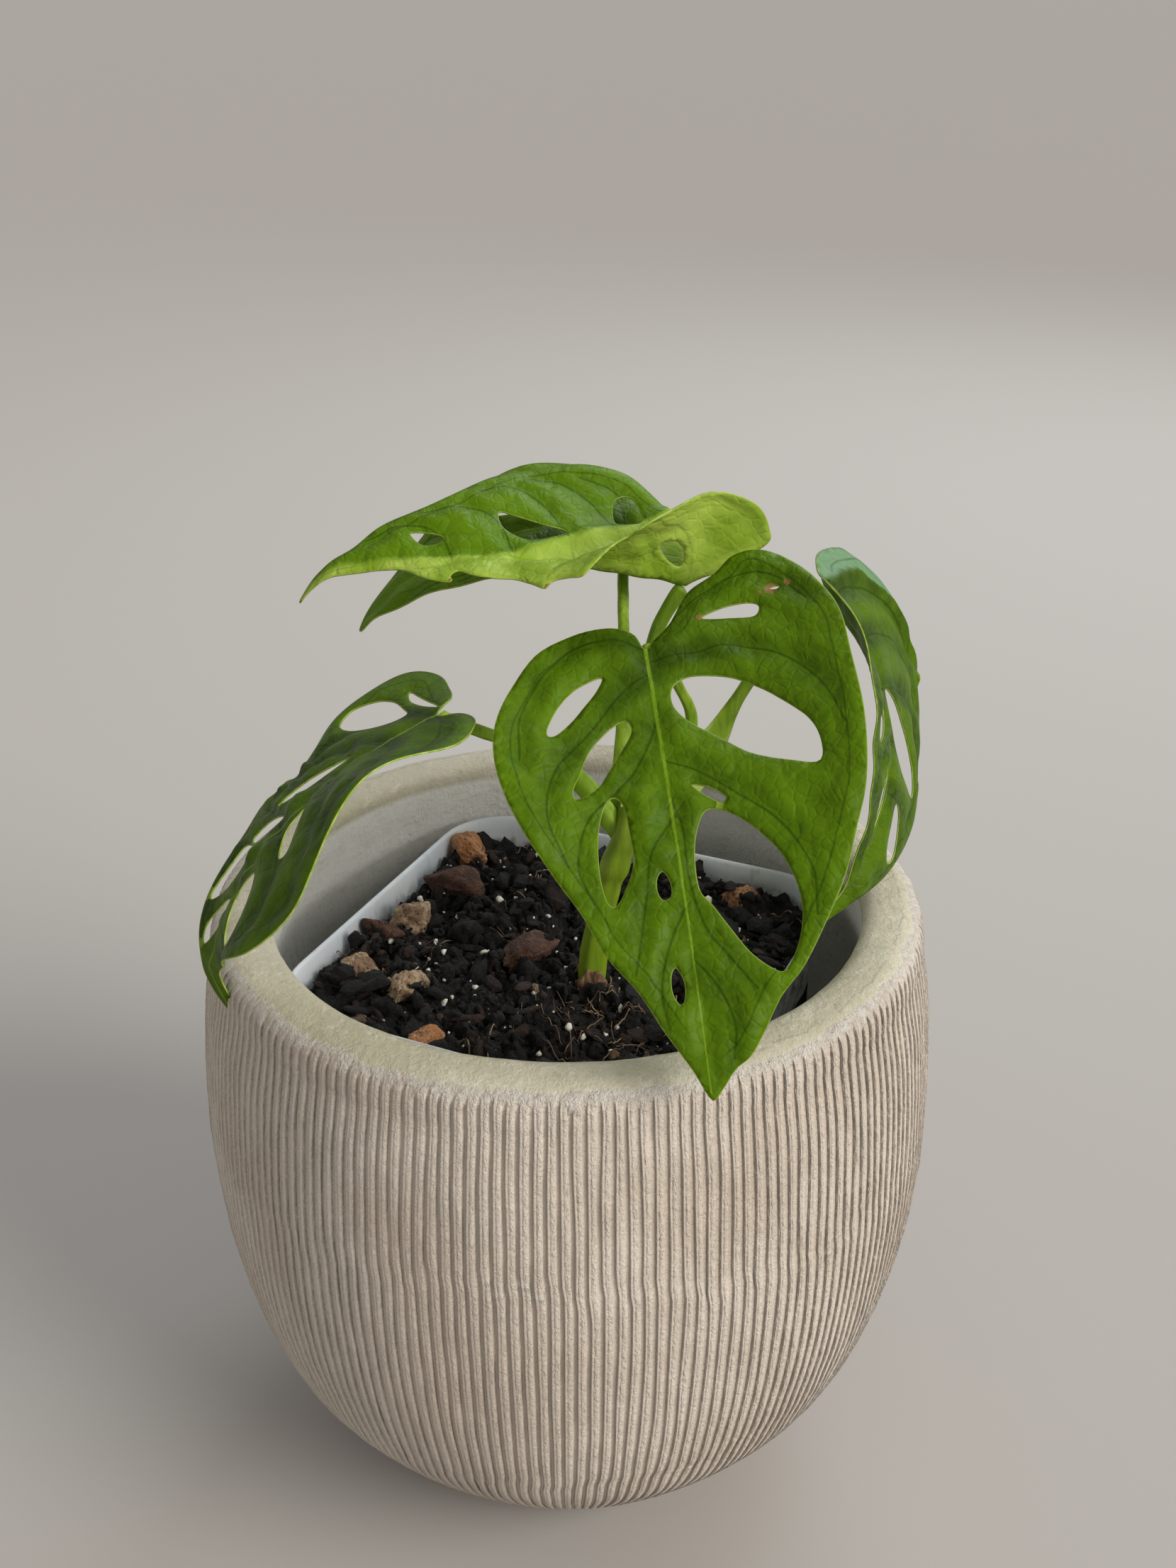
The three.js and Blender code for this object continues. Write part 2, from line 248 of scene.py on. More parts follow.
def cover_pot_surface():
    """Points of the turned profile carried round the axis. On the body the radius drops into each groove
    by the comb's section, the comb wanders a little sideways, and it jumps where a stroke was restarted."""
    profile = np.concatenate([
        np.array(FOOT, float), spline(BODY, BODY_ROWS), spline([BODY[-1]] + RIM, RIM_ROWS)[1:],
        spline([RIM[-1]] + INSIDE, INSIDE_ROWS)[1:]])
    ribbed = np.zeros(len(profile))
    ribbed[len(FOOT):RIBS_END] = 1
    pitch = 2 * np.pi / RIB_COUNT
    rib = np.repeat(np.arange(RIB_COUNT), len(RIB_STEPS))
    angle = rib * pitch + np.tile(RIB_STEPS, RIB_COUNT) * pitch
    comb = np.tile(RIB_HEIGHTS, RIB_COUNT)
    radius, height = profile[:, :1], profile[:, 1:]
    turn = np.stack([np.cos(angle), np.sin(angle)], 1)
    restart = 101 + 6 * ripple(turn, 1.9, 3)[None] + 2.5 * ripple(rib[:, None] * 3.1, 7, 5)[None]
    low_restart = 44 + 4 * ripple(turn, 1.5, 8)[None] + 2 * ripple(rib[:, None] * 2.3, 7, 9)[None]
    shift = 0.2 * smooth(2, -2, height - restart) - 0.22 * smooth(2, -2, height - low_restart)
    place = np.stack([turn[None, :, 0] * radius, turn[None, :, 1] * radius, height + 0 * angle], -1)
    wander = 0.06 * ripple(place * [1, 1, 0.3], 9,
                           11) + 0.04 * ripple(rib[:, None] * 1.7 + height[:, None, :] * 0.09, 3, 4)
    body = ribbed[:, None] * smooth(148.1, 146.7,
                                    height + 0.5 * ripple(rib[:, None] * 2.9, 5, 6)) * smooth(1, 5, height
                                                                                              + 0 * comb)
    worn = 0.84 + 0.14 * ripple(place * [1, 1, 0.6], 6, 12) + 0.10 * ripple(place * [1, 1, 0.12], 26, 15)
    relief = comb[None] * worn
    r = radius - body * RIB_DEPTH * (1 - relief)
    r = r * (1 + 0.0012 * ripple(place, 60, 2)) + 0.06 * ripple(place, 6, 13) * (1 - body) * smooth(5, 30,
                                                                                                    radius)
    angle = angle[None] + body * pitch * (shift + wander)
    lift = 0.12 * ripple(place, 17, 14) * smooth(140, 149, height) * smooth(60, 66, radius)
    points = np.stack([r * np.cos(angle), r * np.sin(angle), height + lift], -1)
    points[[0, -1], :, :2] = 0
    walk = np.concatenate([[0], np.cumsum(np.linalg.norm(np.diff(profile, axis=0), axis=1))])
    uv = np.stack([np.broadcast_to(np.arctan2(np.sin(angle), np.cos(angle)) * 0.08, r.shape),
                   np.broadcast_to(walk[:, None] * MM, r.shape)], -1)
    tones = {"crest": 1 - body * (1 - relief),
             "stroke": np.minimum(np.abs(height - restart), np.abs(height - low_restart)),
             "inner": np.broadcast_to(
        (np.arange(len(profile)) >= LINING_FROM)[:, None].astype(float), r.shape)}
    return points, uv, tones, walk


points, uv, tones, walk = cover_pot_surface()
glaze_edge, crack_line = float(walk[GLAZE_FROM] * MM), float(walk[CRACK_AT] * MM)

stoneware, add = finish("stoneware", 0.78)
place = here(add)
crest = tone_of(add, "crest")
stroke = tone_of(add, "stroke")
inner = tone_of(add, "inner")
cloud = noise(add, place, 28, 4)
grain = noise(add, place, 900, 3, 0.7)
stretched = drawn(add, place, 0.45)
crumb = noise(add, stretched, 560, 5, 0.75)
clay = between(add, span(add, cloud, 0.35, 0.65), (0.66, 0.565, 0.47), (0.75, 0.665, 0.57))
# painted shade: low on the comb's section, in the grooves, the clay is darkened towards a deep brown
clay = between(add, span(add, crest, 0.02, 0.60, 0.36, 0.0), clay, (0.36, 0.29, 0.225))
clay = wash(add, clay, (0.86, 0.81, 0.73), times(add, crest, crumb), 0.40, 0.56, 0.75)
burr = times(add, span(add, stroke, 0.2, 1.4, 1, 0), span(add, noise(add, place, 38, 3), 0.50, 0.60))
clay = between(add, times(add, burr, 0.6), clay, (0.80, 0.75, 0.66))
flat = add("SeparateXYZ", {0: add("UVMap", uv_map="flat")})
streak = noise(add, drawn(add, place, 2.5), 260, 5, 0.7)
glaze = between(add, span(add, cloud, 0.36, 0.62), (0.51, 0.465, 0.33), (0.60, 0.55, 0.42))
glaze = wash(add, glaze, (0.73, 0.69, 0.57), streak, 0.54, 0.66, 0.6)
glaze = wash(add, glaze, (0.38, 0.35, 0.25), streak, 0.44, 0.34, 0.45)
glaze = wash(add, glaze, (0.30, 0.27, 0.19), grain, 0.60, 0.74, 0.4)
drift = times(add, minus(add, noise(add, place, 90, 5, 0.7), 0.5), 0.006)
glazed = span(add, plus(add, flat.outputs["Y"], drift), glaze_edge, glaze_edge + 0.0009)
colour = between(add, glazed, clay, glaze)
lining = between(add, span(add, cloud, 0.3, 0.7), (0.84, 0.82, 0.76), (0.90, 0.88, 0.83))
lining = wash(add, lining, (0.52, 0.50, 0.46), streak, 0.5, 0.7, 0.4)
colour = between(add, inner, colour, lining)
# the crack in the glaze: a thin, faint and broken line where the rim turns over. X runs round the pot
# from the left by way of the front, and the first span keeps the line to the right side and the back.
sway = noise(add, add("CombineXYZ", {0: flat.outputs["X"]}), 160, 3, 0.7)
line = figure(add, "ABSOLUTE", plus(add, minus(add, flat.outputs["Y"], crack_line),
                                      times(add, minus(add, sway, 0.5), 0.0045)), 0)
crack = times(add, span(add, line, 0.00012, 0.00042, 1, 0),
               span(add, noise(add, place, 170, 2), 0.42, 0.50))
for begins, full, before, after in ((-0.0960, -0.086, 0, 1), (-0.2010, -0.196, 0, 1),
                                    (-0.140, -0.120, 0.95, 0.25)):
    crack = times(add, crack, span(add, flat.outputs["X"], begins, full, before, after))
colour = between(add, crack, colour, (0.10, 0.085, 0.06))
relief = plus(add, times(add, crumb, crest), times(add, grain, 0.35))
relief = plus(add, relief, times(add, burr, 0.25))
bump = grain_of(add, relief, 0.0022, minus(add, 1.0, times(add, glazed, 0.55)))
add("gloss", {"Base Color": colour, "Normal": bump,
              "Roughness": minus(add, span(add, grain, 0.3, 0.7, 0.72, 0.88),
                                  times(add, inner, 0.3))})
cover_pot = show("cover_pot_body", points, net(*points.shape[:2]), stoneware, ["cover_pot"],
                 uv, tones)


def sew(piece):
    """Joins the points that lie in one place, as at a pole, and turns every face outwards."""
    soft = bmesh.new()
    soft.from_mesh(piece.data)
    bmesh.ops.remove_doubles(soft, verts=soft.verts, dist=2e-6)
    bmesh.ops.recalc_face_normals(soft, faces=soft.faces)
    soft.to_mesh(piece.data)
    soft.free()


sew(cover_pot)

# ---------------------------------------------------------------- nursery pot
# Thin blown pale plastic, square with round corners and narrower at the foot, standing turned a little
# in the cover pot. A small rolled edge stiffens its top.

NURSERY_TURN = math.radians(-24.4)
NURSERY_SIDE = {12: 68, 137: 102}
CORNER = 0.16      # radius of the corners, as a share of the side
NURSERY_PROFILE = [(12.4, 0), (12.4, 0.0), (40, 0), (80, 0), (120, 0), (131, 0), (133.6, 0), (134.2, 0.3),
                   (134.9, 0.4), (135.5, 0.3), (135.7, 0), (135.5, -0.5), (134.9, -0.9), (132.5, -1.0),
                   (120, -1.0), (80, -1.0), (13.8, -1.0)]


def rounded_square(height, grow, count=144):
    """Points round the nursery pot's section at each height: a square with round corners, walked evenly
    by angle, whose side grows with height, moved outwards by grow."""
    side = np.interp(height, list(NURSERY_SIDE), list(NURSERY_SIDE.values()))
    corner = CORNER * side
    step = np.linspace(0, 4, count, endpoint=False)
    quarter = np.floor(step)
    part = step - quarter
    bend = np.clip((part - 0.36) / 0.28, 0, 1) * np.pi / 2
    run = np.where(part < 0.36, part / 0.36 - 1, 0) + np.where(part > 0.64, (part - 0.64) / 0.36, 0)
    straight = side[:, None] / 2 - corner[:, None]
    reach = corner[:, None] + np.asarray(grow)[:, None]
    x = straight + np.cos(bend) * reach - np.where(run > 0, run, 0) * straight
    y = straight + np.sin(bend) * reach + np.where(run < 0, run, 0) * straight
    turn = NURSERY_TURN + quarter * np.pi / 2
    return np.stack([x * np.cos(turn) - y * np.sin(turn), x * np.sin(turn) + y * np.cos(turn),
                     np.broadcast_to(np.asarray(height, float)[:, None], x.shape)], -1)


plastic, add = finish("nursery_plastic", 0.42)
place = here(add)
cloud = noise(add, place, 45, 3)
scuff = noise(add, drawn(add, place, 0.2), 380, 3, 0.7)
colour = between(add, span(add, cloud, 0.35, 0.65), (0.56, 0.59, 0.63), (0.66, 0.68, 0.70))
colour = wash(add, colour, (0.36, 0.34, 0.31), scuff, 0.58, 0.72, 0.5)
height = add("SeparateXYZ", {0: place}).outputs["Z"]
# the plastic is darker in patches from just under its rolled edge downwards, towards the mix
darker_below_rim = times(add, span(add, plus(add, height, times(add, scuff, 0.004)), 0.1305, 0.1350, 0.75, 0),
               span(add, noise(add, place, 240, 3), 0.45, 0.62))
colour = between(add, darker_below_rim, colour, (0.10, 0.075, 0.055))
add("gloss", {"Base Color": colour, "Roughness": span(add, scuff, 0.3, 0.7, 0.34, 0.55),
              "Normal": grain_of(add, scuff, 0.0003, 0.3)})
height, grow = np.array(NURSERY_PROFILE, float).T
points = rounded_square(height, grow)
points[0, :, :2] = 0
points = np.concatenate([points, points[-1:] * [0, 0, 1]])
nursery_pot = show("nursery_pot_shell", points, net(*points.shape[:2]), plastic,
                   ["nursery_pot"])
sew(nursery_pot)

# ---------------------------------------------------------------- potting mix
# Almost black compost with bark crumbs, perlite grains and a few dry root fibres, heaped a little
# round the stem. The bed is one body, and the loose bits lie half sunk in it.

MIX_TOP = 129.2
MIX_FOOT = 104
STEM_FOOT = (5.3, -12.2)


def mix_height(x, y):
    """How high the bed is: the level, broad heaps, crumb-sized dents and a low mound round the stem."""
    p = np.stack([x, y, 0 * x], -1)
    from_stem = np.hypot(x - STEM_FOOT[0], y - STEM_FOOT[1])
    rough = np.abs(ripple(p, 11, 22)) * 2.4 + np.abs(ripple(p, 4.4, 23)) * 1.5 + np.abs(ripple(p, 1.8,
                                                                                               26)) * 0.7
    return MIX_TOP + 1.3 * ripple(p, 34, 21) + rough - 1.2 + 1.4 * np.exp(-(from_stem / 9) ** 2)


compost, add = finish("compost", 0.93)
place = here(add)
tone = tone_of(add, "tone")
patch = noise(add, place, 160, 4, 0.65)
grain = noise(add, place, 900, 4, 0.7)
dark = between(add, span(add, patch, 0.38, 0.72), (0.0035, 0.0026, 0.0022), (0.014, 0.009, 0.007))
brown = between(add, span(add, grain, 0.35, 0.7), (0.016, 0.008, 0.005), (0.075, 0.034, 0.018))
tan = between(add, span(add, patch, 0.35, 0.7), (0.20, 0.12, 0.062), (0.42, 0.30, 0.19))
colour = between(add, span(add, tone, 0.45, 0.75), dark, brown)
colour = wash(add, colour, tan, tone, 0.86, 0.98)
colour = wash(add, colour, (0.16, 0.11, 0.075), grain, 0.66, 0.74, 0.35)
add("gloss", {"Base Color": colour, "Roughness": span(add, grain, 0.3, 0.7, 0.8, 0.98),
              "Normal": grain_of(add, plus(add, grain, patch), 0.0030, 1.0)})

RINGS = 76
INSIDE_WALL = -1.9
level = np.full(RINGS, MIX_TOP - 1)
share = np.concatenate([[0], np.linspace(0.01, 1, RINGS - 2) ** 0.9, [1]])
points = rounded_square(level, np.full(RINGS, INSIDE_WALL), 288)
points[..., :2] *= share[:, None, None]
points[..., 2] = mix_height(points[..., 0], points[..., 1])
points[-1, :, 2] = MIX_FOOT
points = np.concatenate([points, points[-1:] * [0, 0, 1]])
mix_bed = show("mix_bed", points, net(*points.shape[:2]), compost, ["potting_mix"],
               tones={"tone": np.clip(0.25 + 0.3 * ripple(points, 8, 24), 0, 0.8)})
sew(mix_bed)


def scatter(count, seed, keep_clear=3.0):
    """Seeded places on the bed, inside the nursery pot's wall and clear of the stem."""
    rng = np.random.default_rng(seed)
    p = rng.uniform(-47.4, 47.4, (4 * count, 2))
    p = p[(np.abs(p) > 36).sum(1) < 2][:count]
    c, s = math.cos(NURSERY_TURN), math.sin(NURSERY_TURN)
    p = np.stack([p[:, 0] * c - p[:, 1] * s, p[:, 0] * s + p[:, 1] * c], 1)
    clear = np.hypot(p[:, 0] - STEM_FOOT[0], p[:, 1] - STEM_FOOT[1]) > keep_clear
    return p[clear], rng


def ball(rings, spokes):
    """A unit ball as a grid of rings and spokes, whose first and last rings are its poles."""
    lat = np.linspace(-np.pi / 2, np.pi / 2, rings)[:, None]
    lon = np.linspace(0, 2 * np.pi, spokes, endpoint=False)[None]
    return np.stack([np.cos(lat) * np.cos(lon), np.cos(lat) * np.sin(lon), np.sin(lat) + 0 * lon], -1)


def turned(rng, count, tilt=3.2):
    """Seeded turns, as 3 x 3 arrays: any way round the upright, and tilted by up to tilt."""
    a, b, c = rng.uniform(-3.2, 3.2, count), rng.uniform(-tilt, tilt, count), rng.uniform(-tilt, tilt,
                                                                                          count)
    zero, one = np.zeros(count), np.ones(count)
    z = np.array([[np.cos(a), -np.sin(a), zero], [np.sin(a), np.cos(a), zero], [zero, zero, one]])
    y = np.array([[np.cos(b), zero, np.sin(b)], [zero, one, zero], [-np.sin(b), zero, np.cos(b)]])
    x = np.array([[one, zero, zero], [zero, np.cos(c), -np.sin(c)], [zero, np.sin(c), np.cos(c)]])
    return np.einsum("ijn,jkn,kln->nil", z, y, x)


def copies(faces, count, point_count):
    """The faces of count equal meshes of point_count points each, that lie one after another."""
    shift = np.arange(count)[:, None, None] * point_count
    return (np.array(faces)[None] + shift).reshape(-1, 4).tolist()


def loose_bits(piece_name, places, sizes, turns, sink, material, tone, seed, dents=0.28,
               rings=6, spokes=8):
    """Many small lumps in one mesh: one dented ball for each place, stretched to its size, turned and
    set on the bed."""
    base = ball(rings, spokes).reshape(-1, 3)
    own = base[None] + np.arange(len(places))[:, None, None] * 7.3
    shape = base[None] * (1 + dents * ripple(own, 2.6, seed) + 0.6 * dents
                          * ripple(own, 1.1, seed + 1))[..., None]
    lumps = np.einsum("nij,npj->npi", turns, shape * sizes[:, None, :] / 2)
    up = mix_height(places[:, 0], places[:, 1]) + sizes.min(1) * sink
    lumps += np.concatenate([places, up[:, None]], 1)[:, None]
    faces = copies(net(rings, spokes), len(places), rings * spokes)
    piece = show(piece_name, lumps, faces, material,
                 tones={"tone": np.repeat(tone, rings * spokes)})
    sew(piece)
    return piece


places, rng = scatter(3600, 31)
count = len(places)
sizes = np.clip(rng.lognormal(0.10, 0.70, count), 0.5, 8)[:, None] * rng.uniform(0.35, 1.4, (count, 3))
tone = np.where(rng.random(count) < 0.20, rng.uniform(0.5, 0.8, count), rng.uniform(0, 0.5, count))
tone = np.where(rng.random(count) < 0.03, rng.uniform(0.86, 1.0, count), tone)
loose_bits("mix_crumbs", places, sizes, turned(rng, count), 0.18, compost, tone, 41, 0.55,
           6, 8)

places, rng = scatter(130, 32, 6)
count = len(places)
sizes = rng.uniform([3.5, 1.8, 0.8], [8.5, 4.0, 1.8], (count, 3))
loose_bits("bark_chips", places, sizes, turned(rng, count, 0.5), 0.5, compost,
           rng.uniform(0.35, 0.84, count),
           42, 0.2)

perlite, add = finish("perlite", 0.85)
place = here(add)
pit = noise(add, place, 2200, 2)
colour = between(add, span(add, noise(add, place, 700, 2), 0.4, 0.65), (0.66, 0.60, 0.50),
                 (0.82, 0.79, 0.72))
add("gloss", {"Base Color": colour, "Roughness": span(add, pit, 0.3, 0.7, 0.75, 0.95),
              "Normal": grain_of(add, pit, 0.0002, 0.8)})
places, rng = scatter(260, 33, 4)
count = len(places)
sizes = np.clip(rng.lognormal(-0.35, 0.42, count), 0.3, 1.9)[:, None] * rng.uniform(0.6, 1.3, (count, 3))
loose_bits("perlite_grains", places, sizes, turned(rng, count), 0.9, perlite, np.ones(count),
           43, 0.5, 5, 7)

# dry root fibres, scattered, and 26 of them in front of the stem
fibre, add = finish("root_fibre", 0.8)
place = here(add)
colour = between(add, span(add, noise(add, place, 300, 3), 0.4, 0.62), (0.10, 0.055, 0.03),
                 (0.30, 0.20, 0.12))
add("gloss", {"Base Color": colour, "Normal": grain_of(add, noise(add, place, 1500), 0.0002)})
places, rng = scatter(70, 34, 6)
places[:26] = rng.uniform([-4, -38], [24, -18], (26, 2))
heading = rng.uniform(0, 6.283, len(places))
STEPS = 14  # points along a fibre
SIDES = 5   # and round it
along = np.linspace(-0.5, 0.5, STEPS)[None]
length = rng.uniform(5, 19, len(places))[:, None]
bend = heading[:, None] + along * rng.uniform(-1.6, 1.6, len(places))[:, None]
line = np.stack([np.cos(bend), np.sin(bend)], -1) * length[..., None] / STEPS
line = places[:, None] + np.cumsum(line, 1) - line.sum(1, keepdims=True) / 2
up = mix_height(line[..., 0],
                line[..., 1]) + 0.5 + 2.2 * np.abs(along + rng.uniform(-0.6, 0.6, len(places))[:, None])
ring = np.linspace(0, 2 * np.pi, SIDES, endpoint=False)
taper = np.sin(np.linspace(0.15, 3.0, STEPS)) ** 0.5
thick = rng.uniform(0.09, 0.2, len(places))[:, None, None] * taper[None, :, None]
side = np.stack([-np.sin(bend), np.cos(bend)], -1)
points = np.empty((*line.shape[:2], SIDES, 3))
points[..., :2] = line[:, :, None] + side[:, :, None] * (np.cos(ring) * thick)[..., None]
points[..., 2] = up[..., None] + np.sin(ring) * thick
points[:, [0, -1]] = points[:, [0, -1]].mean(2, keepdims=True)
faces = copies(net(STEPS, SIDES), len(places), STEPS * SIDES)
sew(show("root_fibres", points, faces, fibre))

# ---------------------------------------------------------------- stones and bark
# Pumice, fired clay and bark pieces, each broken into flat faces and lying in the top of the mix, where
# the frame has the piece of that name.


def stone(piece_name, at, size, seed, material):
    """A ball cut back by seeded planes, so that it has broken faces, then roughened and stretched."""
    rng = np.random.default_rng(seed)
    base = ball(40, 60)
    ways = rng.normal(size=(16, 3))
    ways /= np.linalg.norm(ways, axis=1)[:, None]
    cut = rng.uniform(0.62, 0.95, 16) / np.maximum(base @ ways.T, 1e-3)
    reach = -np.log(np.exp(-14 * np.minimum(cut, 1.6)).sum(-1)) / 14
    reach += 0.06 * ripple(base, 0.7, seed + 1) + 0.045 * ripple(base, 0.30, seed + 2)
    p = base * reach[..., None] * np.array(size) * 0.62
    c, s = math.cos(seed * 1.7), math.sin(seed * 1.7)
    p = np.stack([p[..., 0] * c - p[..., 1] * s, p[..., 0] * s + p[..., 1] * c, p[..., 2]], -1)
    p += np.array([at[0], at[1], MIX_TOP + 1.2 + 0.12 * size[2]])
    sew(show(piece_name + "_piece", p, net(40, 60), material, [piece_name]))


def stone_finish(material_name, low, high, stain, pits):
    """Porous stone: a clouded colour, stained patches, and pits that are dark and sunk."""
    made, add = finish(material_name, 0.9)
    place = here(add)
    cloud = noise(add, place, 190, 4, 0.6)
    pit = noise(add, place, 1300, 2, 0.6)
    colour = between(add, span(add, cloud, 0.36, 0.62), low, high)
    colour = wash(add, colour, stain, noise(add, place, 190, 4), 0.48, 0.60, 0.85)
    colour = wash(add, colour, (0.05, 0.03, 0.02), pit, 0.56, 0.66, pits)
    add("gloss", {"Base Color": colour, "Roughness": span(add, pit, 0.3, 0.7, 0.82, 0.98),
                  "Normal": grain_of(add, minus(add, 1.0, pit), 0.0012, 1.0)})
    return made


pumice = stone_finish("pumice", (0.36, 0.23, 0.13), (0.62, 0.47, 0.32), (0.20, 0.10, 0.05), 0.7)
clay_bit = stone_finish("fired_clay", (0.42, 0.17, 0.06), (0.60, 0.33, 0.16), (0.16, 0.06, 0.03), 0.5)
bark = stone_finish("bark", (0.055, 0.022, 0.013), (0.16, 0.07, 0.04), (0.03, 0.015, 0.01), 0.8)
stone("pumice_left", (-37.4, 16.2), (11, 9, 8), 1, pumice)
stone("pumice_front_left", (-37, -13.8), (9, 8, 7), 2, pumice)
stone("pumice_rim", (-48.5, -6), (11, 7, 6), 3, pumice)
stone("pumice_front", (-30.5, -34.4), (6.5, 6, 6), 4, clay_bit)
stone("clay_back", (-24.9, 48.1), (10, 8, 7), 5, clay_bit)
stone("clay_right", (43.7, 25.8), (8, 7, 6), 6, clay_bit)
stone("bark_back", (-30.3, 33.6), (12, 8, 7), 7, bark)
stone("bark_middle", (-9.4, 1.6), (17, 9, 6), 8, bark)
stone("bark_left", (-44, 9.7), (7, 6, 7), 9, bark)

# ---------------------------------------------------------------- stem and leaf stalks
# One thick pale stem grows from the mix and leans right. Each leaf stalk leaves it near the top from a
# winged sheath, thins to a round stalk, and thickens again where it joins its blade.

STEM_ROUTE = [(3, -14.5, 92), (4.2, -13, 114), (5.3, -12.2, 129.5), (6.1, -13, 140.7), (7.6, -14.2, 150.7),
              (9.2, -15, 158), (11.2, -15.2, 166), (13.4, -14.6, 172), (13.8, -12, 177)]
STALKS = {
    "petiole_front": dict(width=2.5, wing=0.6, route=[(14, -14, 168), (18, -14, 175), (23, -6, 182),
                                                      (27.3, 0, 190.6), (24, -4, 201), (18.5, -14, 212.4),
                                                      (16.4, -19, 215.4)]),
    "petiole_top": dict(width=3.4, wing=2.0, route=[(13.6, -13, 170), (15.2, -10, 178), (16.4, -2, 191),
                                                    (18, 4, 203), (19.8, 6.5, 210), (23.5, 8.3, 216.5),
                                                    (25.4, 8.6, 218.8)]),
    "petiole_rear": dict(width=2.7, wing=0.5, route=[(12, -13, 170), (11.4, -9.5, 178), (12.4, -4, 192),
                                                     (12.4, 4, 208), (12.4, 14, 215), (12.6, 24.5, 222.5),
                                                     (13, 27, 224)]),
    "petiole_left": dict(width=2.8, wing=0.8, route=[(12, -14, 169), (8, -13, 176), (1, -15, 186),
                                                     (-7, -20, 194), (-14.5, -26, 199.5),
                                                     (-22.5, -29.8, 204.4), (-25, -30.3, 206)]),
    "petiole_right": dict(width=3.0, wing=3.4, route=[(14, -13, 167), (17.5, -9, 172), (26, 0, 178.5),
                                                      (33, 4, 186.5), (40, 5, 198.5), (47, 6.5, 208),
                                                      (54, 8, 215), (56.6, 7.9, 216.6)]),
}


def unit(v):
    """Each vector of an array at length 1."""
    return v / np.maximum(np.linalg.norm(v, axis=-1, keepdims=True), 1e-9)


def stalk(route, width, wing=0.0, rows=90, spokes=28, reference=(0.25, -1, 0.1)):
    """A round section carried along a smooth route. The width falls along it and swells at the far end,
    and in the sheath the section spreads into two thin wings that turn up at their edges."""
    line = spline(route, rows)
    run = unit(np.gradient(line, axis=0))
    side = unit(np.cross(run, np.array(reference, float)))
    front = np.cross(side, run)
    s = np.linspace(0, 1, rows)[:, None]
    radius = width / 2 * (1.22 - 0.30 * smooth(0, 0.45, s) + 0.12 * smooth(0.86, 0.97, s))
    spread = wing * smooth(0, 0.12, s) * smooth(0.62, 0.30, s)
    turn = np.linspace(0, 2 * np.pi, spokes, endpoint=False)[None]
    across = radius * np.cos(turn) + spread * np.sign(np.cos(turn)) * np.abs(np.cos(turn)) ** 3
    out = radius * np.sin(turn) * (1 - 0.5 * np.abs(np.cos(turn)) ** 2 * smooth(0, 1, spread))
    out += 0.16 * across ** 2 * smooth(0, 2, spread) / (1 + 0.2 * spread)
    out -= 0.22 * radius * np.exp(-((turn - np.pi / 2) / 0.5) ** 2) * smooth(0.1, 0.4, s)
    points = line[:, None] + side[:, None] * across[..., None] + front[:, None] * out[..., None]
    points += 0.05 * unit(side[:, None] * np.cos(turn)[..., None] + front[:, None]
                          * np.sin(turn)[..., None]) * ripple(points, 5, 51)[..., None]
    points[[0, -1]] = points[[0, -1]].mean(1, keepdims=True)
    tones = {"thin": np.abs(across) - radius + 0 * out, "along": s + 0 * out}
    return points, tones


stalk_green, add = finish("stalk_green", 0.46)
place = here(add)
thin = tone_of(add, "thin")
streak = noise(add, drawn(add, place, 0.12), 900, 3)
cloud = noise(add, place, 90, 3)
colour = between(add, span(add, cloud, 0.35, 0.65), (0.20, 0.35, 0.014), (0.33, 0.49, 0.035))
colour = wash(add, colour, (0.10, 0.21, 0.01), streak, 0.40, 0.68, 0.45)
colour = wash(add, colour, (0.44, 0.55, 0.15), thin, 0.2, 1.6, 0.8)
add("gloss", {"Base Color": colour, "Roughness": span(add, streak, 0.3, 0.7, 0.36, 0.52),
              "Subsurface Weight": 0.12, "Specular IOR Level": 0.25,
              "Subsurface Radius": (0.6, 1.0, 0.2), "Subsurface Scale": 0.0012,
              "Normal": grain_of(add, streak, 0.0002, 0.5)})

stem_green, add = finish("stem_green", 0.5)
place = here(add)
height = add("SeparateXYZ", {0: place}).outputs["Z"]
streak = noise(add, drawn(add, place, 0.1), 800, 3)
cloud = noise(add, place, 110, 3)
low = plus(add, height, times(add, minus(add, streak, 0.5), 0.022))
colour = between(add, span(add, cloud, 0.35, 0.65), (0.18, 0.28, 0.010), (0.30, 0.40, 0.03))
colour = wash(add, colour, (0.12, 0.19, 0.01), streak, 0.45, 0.7, 0.5)
colour = between(add, span(add, low, 0.1300, 0.1350, 1, 0), colour, (0.17, 0.10, 0.035))
add("gloss", {"Base Color": colour, "Roughness": span(add, streak, 0.3, 0.7, 0.4, 0.6),
              "Subsurface Weight": 0.12, "Specular IOR Level": 0.3,
              "Subsurface Radius": (0.6, 1.0, 0.2), "Subsurface Scale": 0.0015,
              "Normal": grain_of(add, streak, 0.0003, 0.5)})

points, tones = stalk(STEM_ROUTE, 6.0)
middle = points.mean(1, keepdims=True)
s = np.linspace(0, 1, len(points))[:, None, None]
grown = 1 + 0.20 * np.exp(-((s - 0.83) / 0.035) ** 2) + 0.16 * np.exp(-((s - 0.52) / 0.10) ** 2)
grown = grown - 0.2 * smooth(0.90, 1, s) - 0.1 * np.exp(-((s - 0.79) / 0.02) ** 2)
points = middle + (points - middle) * grown
sew(show("main_stem_body", points, net(*points.shape[:2]), stem_green, ["main_stem"], tones=tones))
for stalk_name, piece in STALKS.items():
    points, tones = stalk(piece["route"], piece["width"], piece["wing"])
    sew(show(stalk_name + "_body", points, net(*points.shape[:2]), stalk_green, [stalk_name],
             tones=tones))

